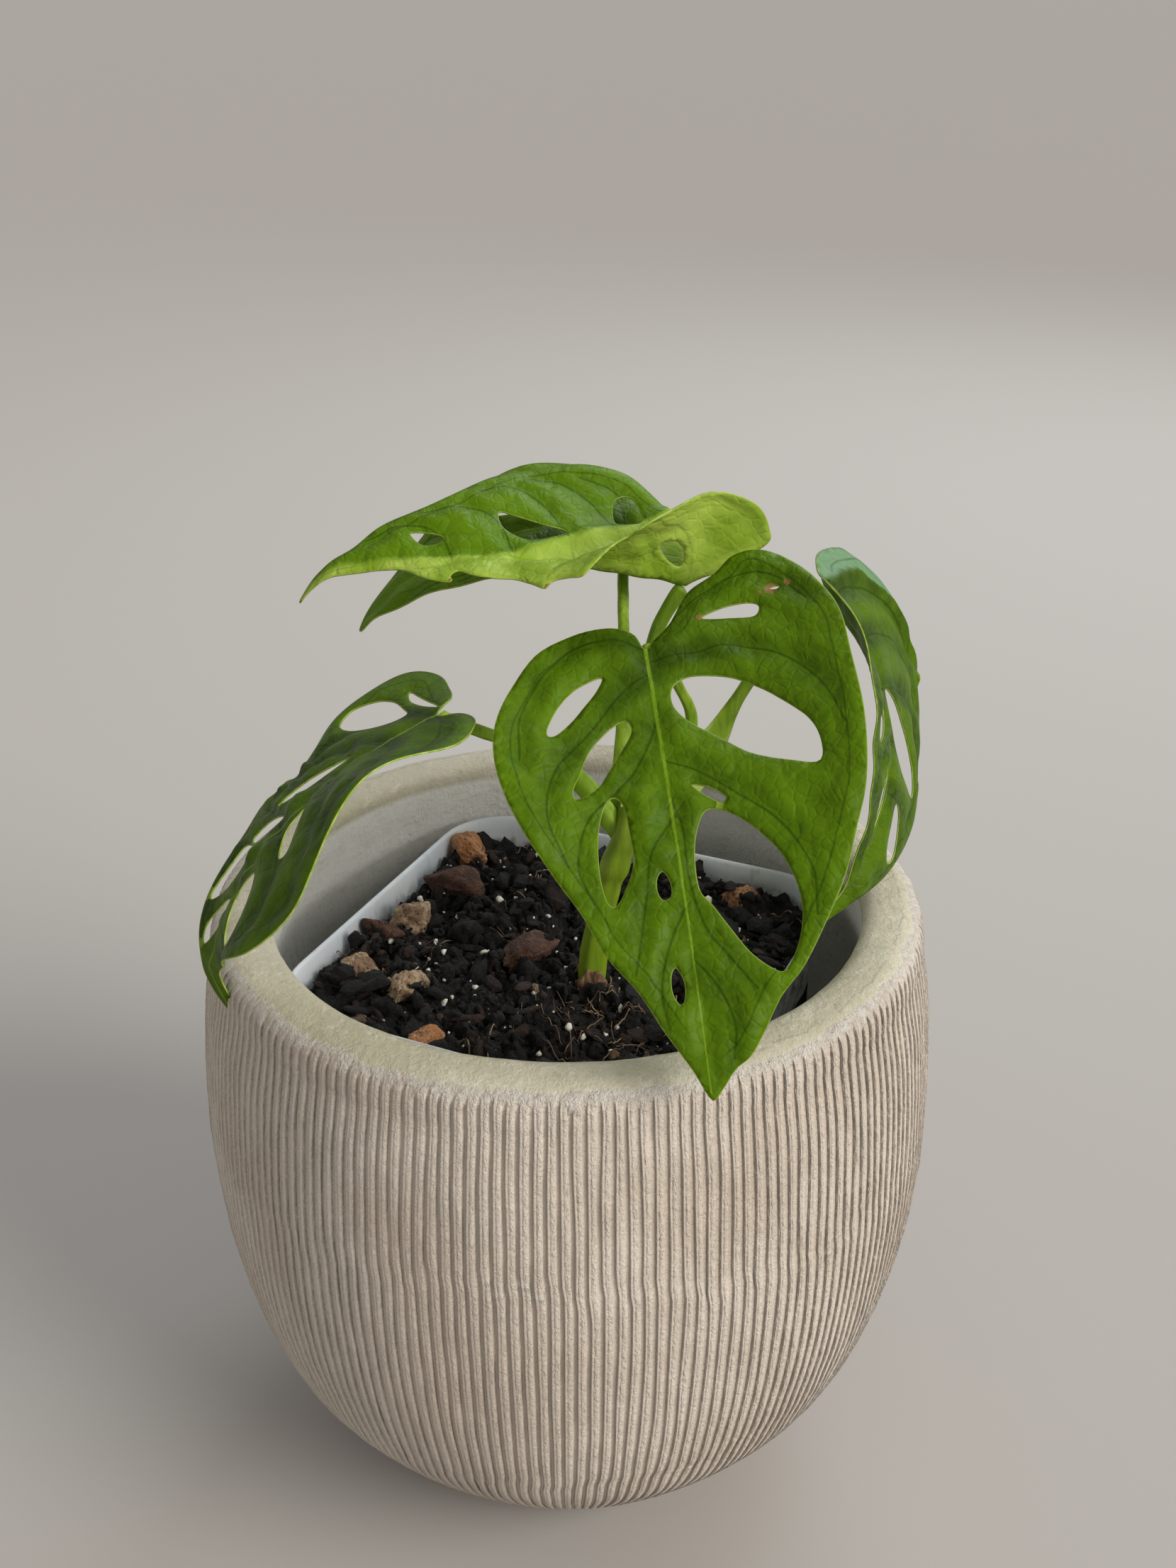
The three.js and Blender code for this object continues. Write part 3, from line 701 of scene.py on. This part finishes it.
# the dry brown scale left where the stem breaks the surface, open at the back and low at the sides
turn = np.linspace(-2.9, 2.9, 60)[None] - np.pi / 2
rise = np.linspace(0, 1, 14)[:, None]
foot = np.interp(rise, [0, 1], [126.5, 136.5]) + 3.0 * rise * (np.cos(2 * (turn + np.pi / 2)) - 0.6)
foot = foot + 0.5 * rise * np.sin(9 * turn)
stem_x, stem_y, stem_z = np.array(STEM_ROUTE[1:4]).T
centre = np.stack([np.interp(foot, stem_z, stem_x), np.interp(foot, stem_z, stem_y)], -1)
wrap = 3.75 + 0.9 * rise ** 2 * (0.5 + 0.5 * np.sin(5 * turn + 1))
outwards = np.stack([np.cos(turn), np.sin(turn)], -1)
points = np.concatenate([centre + wrap[..., None] * outwards, foot[..., None]], -1)
husk, add = finish("husk", 0.8)
place = here(add)
streak = noise(add, drawn(add, place, 0.15), 1100, 3)
add("gloss", {"Base Color": between(add, span(add, streak, 0.35, 0.65), (0.10, 0.05, 0.025),
                                    (0.33, 0.21, 0.10)),
              "Normal": grain_of(add, streak, 0.0003, 0.7)})
scale = show("stem_scale", points, net(14, 60, around=False), husk)
thicken(scale, 0.25)

# ---------------------------------------------------------------- leaves
# Thin, slightly quilted blades with a pale edge. Side veins run from the midrib between the oval holes
# and join a vein that follows the margin. Each is cut flat and then bent: x across, y along the midrib.

# In a flat frame, length is the midrib's. joint, tip and bow place it, and across is the way to the right
# half at the joint and at the tip. The halves rise from it and curl on, and drip bends the tip. Each
# blade's green is lightened by its own amount, which is painted light for how brightly that leaf is lit.
# Beyond the lines pale and far a blade folds over, and beyond far it is painted a pale bluish sheen. One
# marked over is seen from below.
BLADE = 0.34  # thickness
BLADES = {
    "leaf_front": dict(
        joint=(16.2, -20, 216), tip=(27.4, -86, 153.8), bow=(0, -4, 4), length=92,
        across=[(1, 0, 0.02), (1, 0, 0)], right_rise=[6, 4, 0], right_curl=[-0.8, -0.7, -0.5],
        left_rise=[6, 4, 0], left_curl=[-0.8, -0.7, -0.5], drip=(0, 0, 0), painted_light=0.6, seed=61, over=True,
        outline=[(0, 0), (-2, -4), (-7, -6), (-14, -5), (-22, 0), (-28, 8), (-32, 16), (-33, 23), (-32, 30),
                 (-29, 39), (-25, 46), (-20, 55), (-16, 64), (-11, 71), (-7, 79), (-3, 86), (0, 92),
                 (2, 90.5), (5, 87), (8, 85), (11, 81), (15, 75), (20, 70), (25, 63), (30, 55), (34, 46),
                 (37, 39), (39, 31), (40, 22), (40, 10), (40, 1), (38, -6), (34, -14), (28, -21), (22, -22),
                 (17, -18), (11, -14), (6, -6), (2, -2)],
        holes=[[(12.5, -6), (17, -8), (22, -8), (24.3, -6.5), (23, -4.2), (18, -5)],
               [(4, 10), (7, 8), (11, 8), (16, 9.5), (21, 13), (25, 17), (29, 22), (30.5, 27), (29.5, 31.5),
                (24, 30), (17, 27), (12, 23), (6, 18), (3.6, 14)],
               [(4.6, 32), (8, 33), (10.6, 35.2), (9.6, 36.3), (7, 34.6)],
               [(6, 38), (8.5, 37.6), (12, 39.5), (15.5, 43), (19, 48), (21, 54), (21.3, 60), (19.5, 66),
                (16.5, 70.3), (14, 69.5), (10.5, 66), (7.5, 61), (5, 56.5), (3, 53), (3, 47), (4, 42)],
               [(-9.6, 6), (-11, 9), (-14, 12.6), (-17, 16), (-20.5, 18.8), (-22, 18), (-19.5, 13),
                (-16, 9), (-12.5, 6.8)],
               [(-5.6, 17), (-5.6, 19.6), (-8.5, 24), (-11, 27.4), (-13.5, 30.6), (-17.5, 32.6),
                (-18.4, 31), (-16.6, 27.5), (-14, 22.5), (-10, 18.4), (-7, 16.6)],
               [(-10.5, 33), (-9, 35), (-8.6, 40), (-8.6, 46), (-10.5, 51), (-13, 54.6), (-14.6, 53.5),
                (-15.2, 49), (-15, 43), (-14, 38), (-12.3, 34)],
               [(-3.4, 48.8), (-2.3, 51), (-2.5, 53.6), (-4, 54.4), (-4.9, 52.6), (-4.6, 50)],
               [(-3.5, 67.4), (-2.3, 70), (-2.6, 73.2), (-3.6, 74.2), (-4.6, 72), (-4.5, 69)],
               [(27.2, -10.1), (28.6, -10.4), (29.4, -9.9), (28.4, -9.5)]],
        veins=[[(0, 0), (6, -6), (14, -13), (22, -16), (29, -13), (34, -5)],
               [(0, 3), (9, 2), (18, 2), (27, 7), (33, 15), (36, 25)],
               [(0, 26), (6, 29), (13, 35), (20, 42), (24.5, 52), (24, 61)],
               [(0, 34), (1.6, 40), (1.4, 50), (3, 60), (7, 67), (11, 73)],
               [(0, 0), (-7, -3), (-15, -1), (-22, 6), (-27, 15), (-28, 24)],
               [(0, 6), (-6, 10), (-14, 19), (-21, 26), (-24, 36), (-21, 46)],
               [(0, 17), (-4, 25), (-9, 31), (-16, 37), (-19, 46), (-17, 54)],
               [(0, 38), (-5, 45), (-7, 53), (-9, 61), (-11, 68)],
               [(0, 56), (-4, 63), (-6.5, 71), (-6, 79)],
               [(0, 66), (4, 72), (6, 79), (5, 85)]],
        brown=[(27.6, -9.8, 1.5), (24.8, -9.6, 0.7), (31, -10.6, 0.8), (12, -6.2, 0.7), (28.5, -22, 0.4),
               (40, 44, 0.5)]),
    "leaf_left": dict(
        joint=(-25.4, -30.4, 206.4), tip=(-74.6, -39.1, 149), bow=(-6, -17.5, 12.4), length=84,
        across=[(0.24, 0.96, -0.15), (-0.35, 0.53, -0.77)], right_rise=[8, 18, 14], right_curl=[0, 0, 0],
        left_rise=[-22, -10.5, -32, -21.5, -11], left_curl=[0, 0, 0], drip=(9, -2, -7.5), painted_light=0.2, seed=62,
        outline=[(0, 0), (4, -6), (10, -10), (17, -13), (24, -11), (29, -5), (31, 3), (30, 14), (28, 20),
                 (27, 27), (28, 36), (27, 42), (26, 54), (19, 61), (12, 67), (6, 73), (2.6, 78), (1.7, 82),
                 (1.2, 86), (0, 90), (-1.6, 86), (-2, 82), (-2.8, 78), (-6, 72), (-12, 65), (-18, 58),
                 (-25, 50), (-28, 40), (-27, 30), (-24, 20), (-19, 9), (-12, 1), (-6, -3)],
        holes=[[(27, 5), (28, 0), (24, -2.6), (18, -3), (12, -1), (8, 1), (9, 4), (14, 6), (21, 6.6)],
               [(17, -6.4), (13, -5.6), (7, -4), (3, -2.4), (7, -2.4), (13, -3.6)],
               [(5, 17), (8, 19), (13, 25), (15.6, 33), (16, 41), (14.4, 40), (11, 34), (6.5, 27)],
               [(3.4, 38), (7, 39.5), (11, 44.5), (13, 52), (11, 52.6), (6, 47)],
               [(6.6, 50.6), (10.5, 53.5), (13.4, 58), (11, 65), (8, 69), (6, 63), (4.8, 56)],
               [(-3.2, 31.6), (-3, 36), (-6, 39), (-9.6, 40.6), (-11, 38.4), (-8, 35)],
               [(-4.6, 48), (-3.4, 54), (-7, 59.4), (-10, 61), (-14.6, 56.6), (-13, 52.6), (-9, 49)],
               [(1.4, 61), (3.6, 65), (4.4, 71), (2.8, 75.4), (1.6, 71), (1, 66)]],
        veins=None, brown=[]),
    "leaf_right": dict(
        joint=(56.9, 7.9, 216.9), tip=(55.8, -23.3, 156.1), bow=(14.3, 2.9, -1.8), length=80,
        across=[(-0.41, -0.71, 0.57), (-0.5, -0.71, 0.48)], right_rise=[9, 6, 13], right_curl=[0, 0, 0],
        left_rise=[19, -7, 22], left_curl=[-0.24, 0, -1.6], drip=(-3, -2, -1), painted_light=0.35, seed=63,
        # beyond the far line the blade is painted a pale bluish sheen
        far=[(2, -3), (-1, -2.8), (-6, -2.2), (-11.5, -1.6), (-19, 0.7), (-24.4, 4.5), (-30, 9.8),
             (-34, 16), (-40, 30)],
        outline=[(0, 0), (-3, -4.5), (-8, -6), (-14, -6), (-23, -4), (-31, -1), (-36, 7), (-37, 18),
                 (-37, 29), (-34, 40), (-27, 49), (-20, 58), (-12, 66), (-5, 74), (-1, 82), (1, 82),
                 (5, 75), (9, 67), (15, 56), (19, 44), (22, 30), (21, 16), (17, 4), (11, -4), (5, -4)],
        holes=[[(-3, 24), (-8, 26), (-14, 32), (-21, 38), (-23.4, 44), (-22, 47.6), (-16, 45.6), (-9, 42),
                (-3.6, 36)],
               [(3, 42), (5.4, 46), (6.4, 52), (5.4, 58), (3.4, 58.6), (2, 53), (1.6, 46)],
               [(-6.4, 51.6), (-9.6, 51), (-13.4, 56), (-14, 61), (-10.6, 63), (-7, 58.6)],
               [(7, 22), (10, 24), (13.4, 31), (13.6, 36), (10, 34), (7.6, 28)]],
        veins=None, brown=[(21.6, 24, 0.9), (21, 12, 0.6), (-30, 45, 0.5)]),
    "leaf_top": dict(
        joint=(25.9, 8.6, 219.6), tip=(-52, -6.1, 227.1), bow=(-1, -4.6, 5.7), length=84,
        across=[(-0.09, 0.98, -0.15), (0.03, 1, 0.04)], right_rise=[27, 35, 22],
                     right_curl=[0.7, -0.8, 0.2],
        left_rise=[75, 10, -20], left_curl=[0, -3, -2], drip=(1, -1, -7), painted_light=1.0, seed=64,
        outline=[(0, 0), (4, -5), (11, -5), (18, -1), (24, 3), (29, 8), (31, 14), (32, 22), (32, 30),
                 (28, 39), (20, 50), (14, 61), (10, 69), (5, 75), (2.2, 81), (1.3, 85), (0.2, 88.5),
                 (-1.0, 85), (-1.4, 81), (-1.6, 75), (-2, 68), (-3.5, 63), (-7, 59), (-9.4, 54.5),
                 (-9.6, 52.5), (-8.2, 52.8), (-7, 51), (-9, 48), (-10.2, 44), (-10.6, 40), (-13, 37),
                 (-15.8, 34.6), (-14.6, 33), (-16, 30.4), (-18, 28.4), (-16.6, 26), (-14, 22), (-13.6, 19),
                 (-17, 17), (-18.6, 12), (-21, 6), (-22, 0), (-21.6, -5), (-20, -8), (-17, -10.6),
                 (-14, -12), (-9, -9), (-4, -5)],
        holes=[[(7.6, 61), (7.4, 57), (6, 53.4), (4.2, 55), (4.2, 58.6)],
               [(14, 40), (13, 36), (11.4, 31), (10, 25.6), (7.6, 27), (6, 31), (6.2, 36), (9.4, 40)],
               [(20, 13), (22.6, 11), (22.6, 8), (18, 6.8), (15, 8), (14, 13)],
               [(-8, 9.4), (-9.4, 6.6), (-7, 3.4), (-3.6, 3), (-4.4, 6)]],
        veins=None, brown=[(-9.6, 53, 0.8), (-15.8, 34, 0.8), (-18.4, 28.2, 0.8), (-8.2, 52, 0.4)],
        pale=[(0, 95), (1, 77), (0, 64), (-0.6, 52), (0, 42), (2, 36), (6, 29), (9, 21), (13, 12), (18, 3),
              (21, 0), (26, -6)]),
    "leaf_rear": dict(
        joint=(13, 27.5, 224.5), tip=(-47, 20, 206), bow=(0, 2, 9), length=76,
        across=[(0, 1, 0), (0, 1, 0)], right_rise=[22, 24, 14], right_curl=[-0.3, -0.3, -0.3],
        left_rise=[-6, -14, -14], left_curl=[-0.4, -0.4, -0.4], drip=(2, 0, -4), painted_light=1.6, seed=65,
        outline=[(0, 0), (5, -6), (12, -8), (19, -4), (23, 6), (24, 18), (22, 30), (18, 42), (12, 54),
                 (6, 65), (3, 71), (1, 76), (-1, 76), (-4, 71), (-8, 62), (-12, 50), (-16, 36), (-18, 22),
                 (-18, 8), (-15, -3), (-10, -7), (-5, -6)],
        holes=[[(9, 13), (13, 15), (16, 21), (15, 25), (12, 23), (9, 18)],
               [(6, 30), (9.6, 33), (11.6, 39), (10, 42), (7, 37)],
               [(-6.6, 14), (-6.6, 19), (-10, 26), (-12, 26), (-11, 20)],
               [(-6, 31), (-6.4, 36), (-9.4, 41), (-10.6, 40), (-9, 35)]],
        veins=None, brown=[]),
}


def eased(values, t):
    """Values given at even steps from 0 to 1, eased from one to the next."""
    values = np.asarray(values, float)
    place = np.clip(t, 0, 1) * (len(values) - 1)
    i = np.minimum(place.astype(int), len(values) - 2)
    ease = smooth(0, 1, place - i)
    return values[i] + (values[i + 1] - values[i]) * (ease if values.ndim == 1 else ease[..., None])


def midrib(leaf, y):
    """The midrib at y: a straight line from joint to tip, plus a bow that is full half way."""
    t = (y / leaf["length"])[..., None]
    joint, tip = np.array(leaf["joint"]), np.array(leaf["tip"])
    return joint + (tip - joint) * t + 4 * t * (1 - t) * np.array(leaf["bow"])


def bent(leaf, x, y, lift):
    """Where points of the flat blade lie. Each half leaves the midrib at its rise angle and curls on as
    an arc, lift goes out along its normal, and the drip tip bends away past the end of the midrib."""
    t = y / leaf["length"]
    along = unit(midrib(leaf, y + 0.1) - midrib(leaf, y - 0.1))
    across = eased(leaf["across"], t)
    across = unit(across - (across * along).sum(-1, keepdims=True) * along)
    up = np.cross(across, along)
    right = x >= 0
    rise = np.radians(np.where(right, eased(leaf["right_rise"], t), eased(leaf["left_rise"], t)))
    curl = np.radians(np.where(right, eased(leaf["right_curl"], t), eased(leaf["left_curl"], t)))
    curl = np.where(np.abs(curl) < 1e-6, 1e-6, curl)
    end = rise + curl * np.abs(x)
    out = (np.sin(end) - np.sin(rise)) / curl
    height = (np.cos(rise) - np.cos(end)) / curl
    lean = end * np.minimum(1, np.abs(x) / 3)
    side = np.where(right, 1, -1)
    p = midrib(leaf, y) + across * (side * (out - lift * np.sin(lean)))[..., None]
    p = p + up * (height + lift * np.cos(lean))[..., None]
    past = np.clip(y - 0.93 * leaf["length"], 0, None)[..., None] / 12
    return p + past ** 2 * np.array(leaf["drip"], float)


def within(p, loop):
    """True for the points inside a closed loop: a line to the right crosses it an odd number of times."""
    a, b = loop, np.roll(loop, -1, 0)
    x, y = p[:, 0, None], p[:, 1, None]
    cross = a[:, 0] + (y - a[:, 1]) / (b[:, 1] - a[:, 1] + 1e-12) * (b[:, 0] - a[:, 0])
    return (((a[:, 1] > y) != (b[:, 1] > y)) & (x < cross)).sum(1) % 2 == 1


def distance(p, line):
    """How far each point is from a line of points."""
    a, b = line[:-1], line[1:]
    t = (((p[:, None] - a) * (b - a)).sum(-1) / np.maximum(((b - a) ** 2).sum(-1), 1e-9)).clip(0, 1)
    return np.linalg.norm(p[:, None] - a - t[..., None] * (b - a), axis=-1).min(1)


def side_veins(outline):
    """Side veins where a blade gives none: five for each half, each leaving the midrib and bending
    towards the tip until it comes near the margin."""
    top = outline[:, 1].max() * 0.92
    veins = []
    for side in (-1, 1):
        half = outline[outline[:, 0] * side > 0]
        half = half[np.argsort(half[:, 1])]
        for start in (0.0, 0.14, 0.30, 0.47, 0.64):
            y = start * top + np.array([0, 0.02, 0.07, 0.15, 0.24]) * top
            wide = np.interp(y, half[:, 1], np.abs(half[:, 0]))
            veins.append(np.stack([side * wide * np.array([0, 0.3, 0.58, 0.78, 0.86]), y], 1))
    return veins


def blade(leaf_name, leaf, materials):
    """A blade cut flat and bent. Its points lie on the margin, along the veins and on a close net between
    them. The blade swells between the veins, waves gently, and carries for each point its distance from
    margin, midrib and side veins."""
    outline = spline(leaf["outline"], 300, closed=True)
    holes = [spline(hole, max(12, int(np.ptp(hole) * 3.2)), closed=True) for hole in leaf["holes"]]
    loops = [outline] + holes
    veins = [spline(vein, 60) for vein in (leaf["veins"] or side_veins(outline))]
    tip_y = outline[:, 1].max()
    rib = np.stack([np.zeros(110), np.linspace(0, tip_y - 1.5, 110)], 1)
    low, high = outline.min(0), outline.max(0)
    step = 1.15
    gx, gy = np.meshgrid(np.arange(low[0], high[0], step), np.arange(low[1], high[1], step * 0.866))
    gx = gx + (np.arange(len(gx)) % 2)[:, None] * step / 2
    net_points = np.stack([gx.ravel(), gy.ravel()], 1)
    lines = np.concatenate(veins + [rib])

    def in_leaf(p):
        """True for the points inside the outline and outside the holes."""
        return within(p, outline) & ~np.any([within(p, hole) for hole in holes], 0)

    def to_margin(p, loops):
        """How far each point is from the nearest loop."""
        return np.min([distance(p, np.concatenate([loop, loop[:1]])) for loop in loops], 0)

    def kept(p, clear):
        """The points in the leaf that lie further than clear from every margin."""
        p = p[in_leaf(p)]
        return p[to_margin(p, loops) > clear]

    lines = kept(lines, 0.35)
    net_points = kept(net_points, 0.45)
    apart = np.min([np.linalg.norm(net_points - q, axis=1) for q in lines], 0)
    net_points = net_points[apart > 0.5]
    flat = np.concatenate(loops + [lines, net_points])
    edges, first = [], 0
    for loop in loops:
        edges += [(first + i, first + (i + 1) % len(loop)) for i in range(len(loop))]
        first += len(loop)
    flat, _, faces = geometry.delaunay_2d_cdt([Vector(p) for p in flat], edges, [], 0, 1e-4)[:3]
    flat, faces = np.array(flat, float), np.array(faces)
    middle = flat[faces].mean(1)
    faces = faces[in_leaf(middle)]
    x, y = flat.T
    rim, outer = to_margin(flat, loops), to_margin(flat, [outline])
    vein = np.min([distance(flat, v) for v in veins], 0)
    width = 0.22 + 0.34 * smooth(1, 0, y / tip_y)
    near_rib = distance(flat, rib)
    inner = smooth(0, 3, rim)
    lift = 0.72 * (1 - np.exp(-(np.minimum(vein, near_rib)
                                / 2.2) ** 2)) * inner + 0.35 * ripple(flat, 9, leaf["seed"]) * inner
    lift += 0.22 * np.exp(-(near_rib / 0.6) ** 2) - 0.7 * np.exp(-(near_rib / 3.0) ** 2)
    lift += 0.55 * ripple(flat, 20, leaf["seed"] + 1) * smooth(12, 0, outer) * smooth(0, 6, np.abs(x))
    pale = 0 * x
    far = 0 * x
    # beyond the far line: a ridge in the blade, and a mask for its painted bluish sheen
    if "far" in leaf:
        line = np.array(sorted(leaf["far"]), float)
        beyond = y - np.interp(x, line[:, 0], line[:, 1])
        far = smooth(0.25, -0.25, beyond) * smooth(1, -1, x)
        lift += 1.7 * np.exp(-((beyond - 1.0) / 1.6) ** 2) * smooth(0, -3, x)
    if "pale" in leaf:
        crest = np.array(sorted(leaf["pale"], key=lambda p: p[1]), float)
        beyond = x - np.interp(y, crest[:, 1], crest[:, 0])
        pale = smooth(0.5, -0.5, beyond)
        lift += 1.1 * np.exp(-(beyond / 1.6) ** 2) * smooth(80, 60, y)
    brown = np.zeros(len(flat))
    for bx, by, size in leaf["brown"]:
        brown = np.maximum(brown, np.exp(-((x - bx) ** 2 + (y - by) ** 2) / size ** 2))
    points = bent(leaf, x, y, -lift if "over" in leaf else lift)
    tones = {"rim": rim, "outer": outer, "vein": vein, "midrib": near_rib / width, "pale": pale,
             "brown": brown,
             "base": smooth(34, 0, np.hypot(x, y)), "far": far, "painted_light": leaf["painted_light"] + 0 * x}
    piece = show(leaf_name + "_blade", points, faces.tolist(), materials, [leaf_name], flat * MM,
                 tones)
    wall = thicken(piece, BLADE)
    wall.offset = 0
    wall.use_even_offset = False
    wall.material_offset = 1
    wall.material_offset_rim = 2
    return piece


def leaf_finish(material_name, deep, fresh, bright, roughness, quilt):
    """The skin of a blade: clouded green, lightened for each blade by its own share of painted light for
    how brightly that leaf is lit, darker by the joint, thin dark side veins, a vein that follows the
    margin, a bright midrib, a pale edge, and a fine net of cells. Pale marks what lies beyond a fold, far
    marks a painted bluish sheen beyond another, and brown is dry tissue."""
    made, add = finish(material_name, roughness)
    flat = add("UVMap", uv_map="flat").outputs["UV"]
    tone = {key: tone_of(add, key)
            for key in ("rim", "outer", "vein", "midrib", "pale", "brown", "base", "far", "painted_light")}
    cloud = noise(add, flat, 60, 3)
    fleck = noise(add, flat, 420, 4, 0.6)
    cell = add("TexVoronoi", {"Vector": flat, "Scale": 420}, feature="DISTANCE_TO_EDGE").outputs["Distance"]
    broad = add("TexVoronoi", {"Vector": flat, "Scale": 150},
                feature="DISTANCE_TO_EDGE").outputs["Distance"]
    # painted light: each blade's own value moves its green from deep towards fresh, for how brightly that
    # leaf is lit
    shade = plus(add, times(add, minus(add, cloud, 0.5), 1.6), tone["painted_light"])
    colour = between(add, span(add, shade, 0.0, 1.0), deep, fresh)
    colour = wash(add, colour, bright, fleck, 0.35, 0.7, 0.3)
    colour = between(add, times(add, tone["base"], 0.5), colour, tuple(0.6 * c for c in deep))
    colour = wash(add, colour, bright, tone["vein"], 1.0, 5.0, 0.40)
    pale = between(add, span(add, cloud, 0.34, 0.66), (0.19, 0.31, 0.016), (0.36, 0.48, 0.07))
    colour = between(add, tone["pale"], colour, pale)
    dark_vein = tuple(0.62 * c for c in deep)
    vein = between(add, tone["pale"], dark_vein, (0.20, 0.30, 0.03))
    # painted sheen: beyond the far line the green turns a pale bluish one, a painted reflection of the sky
    colour = between(add, tone["far"], colour, (0.13, 0.25, 0.115))
    colour = between(add, span(add, tone["vein"], 0.08, 0.42, 0.55, 0), colour, vein)
    side = figure(add, "ABSOLUTE", minus(add, tone["outer"], plus(add, 2.5, times(add, cloud, 1.6))))
    colour = between(add,
                     times(add, span(add, side, 0.05, 0.35, 0.45, 0), span(add, tone["midrib"], 8, 20)),
                     colour, vein)
    colour = between(add, span(add, broad, 0.0, 0.07, 0.12, 0), colour, vein)
    colour = between(add, span(add, tone["midrib"], 0.35, 1.0, 0.75, 0), colour, (0.17, 0.29, 0.012))
    colour = between(add, span(add, tone["rim"], 0.05, 0.24, 0.55, 0), colour, (0.30, 0.40, 0.06))
    dry = plus(add, tone["brown"], times(add, minus(add, fleck, 0.5), 0.9))
    colour = wash(add, colour, (0.21, 0.12, 0.04), dry, 0.36, 0.5)
    relief = plus(add, times(add, span(add, cell, 0, 0.18), 0.35),
                    plus(add, times(add, span(add, broad, 0, 0.22), 0.8), times(add, fleck, 0.5)))
    add("gloss", {"Base Color": colour, "Subsurface Weight": 0.03, "Subsurface Radius": (0.5, 1.0, 0.1),
                  "Subsurface Scale": 0.0010, "Specular IOR Level": 0.09,
                  "Roughness": span(add, fleck, 0.3, 0.7, roughness - 0.05, roughness + 0.10),
                  "Normal": grain_of(add, relief, 0.00028, quilt)})
    return made


leaf_top_skin = leaf_finish("leaf_upper", (0.020, 0.046, 0.0006), (0.078, 0.162, 0.0008),
                            (0.112, 0.212, 0.002), 0.42, 0.8)
leaf_under_skin = leaf_finish("leaf_under", (0.09, 0.18, 0.018), (0.14, 0.25, 0.026), (0.20, 0.32, 0.04),
                              0.55, 0.7)
leaf_edge, add = finish("leaf_edge", 0.5)
place = here(add)
add("gloss", {"Base Color": between(add, span(add, noise(add, place, 500, 3), 0.35, 0.65),
                                    (0.22, 0.33, 0.03), (0.38, 0.48, 0.10)), "Specular IOR Level": 0.2})
for leaf_name, leaf in BLADES.items():
    skins = [leaf_under_skin, leaf_top_skin] if "over" in leaf else [leaf_top_skin, leaf_under_skin]
    blade(leaf_name, leaf, skins + [leaf_edge])

# ---------------------------------------------------------------- floor and light
# A plain pale floor, one soft warm window light from the right in front, a weaker bluish light from
# behind on the right, and an even fill from all round.

floor_mesh = bpy.data.meshes.new("floor")
corners = [(x, y, -0.0004) for x, y in ((-9, -3), (9, -3), (9, 20), (-9, 20))]
floor_mesh.from_pydata(corners, [], [(0, 1, 2, 3)])
floor = place_object("floor", floor_mesh)
paper, add = finish("paper_floor", 0.9)
add("gloss", {"Base Color": (0.43, 0.405, 0.38)})
floor_mesh.materials.append(paper)


def light(light_name, kind, way, power, colour):
    """A light that shines the given way."""
    lamp = place_object(light_name, bpy.data.lights.new(light_name, kind))
    lamp.data.energy, lamp.data.color = power, colour
    lamp.rotation_euler = Vector(way).to_track_quat("-Z", "Y").to_euler()
    return lamp


sky = light("sky", "AREA", (-0.55, -0.95, -0.82), 7, (0.84, 0.93, 1.0))
sky.location = (0.55, 0.95, 1.0)
sky.data.shape, sky.data.size = "SQUARE", 0.8
window = light("window", "SUN", (-0.76, 0.48, -0.52), 2.8, (1.0, 0.97, 0.92))
window.data.angle = math.radians(34)
world = bpy.data.worlds.new("room")
world.use_nodes = True
world.node_tree.nodes["Background"].inputs["Color"].default_value = (1.0, 0.985, 0.965, 1)
world.node_tree.nodes["Background"].inputs["Strength"].default_value = 0.46
bpy.context.scene.world = world
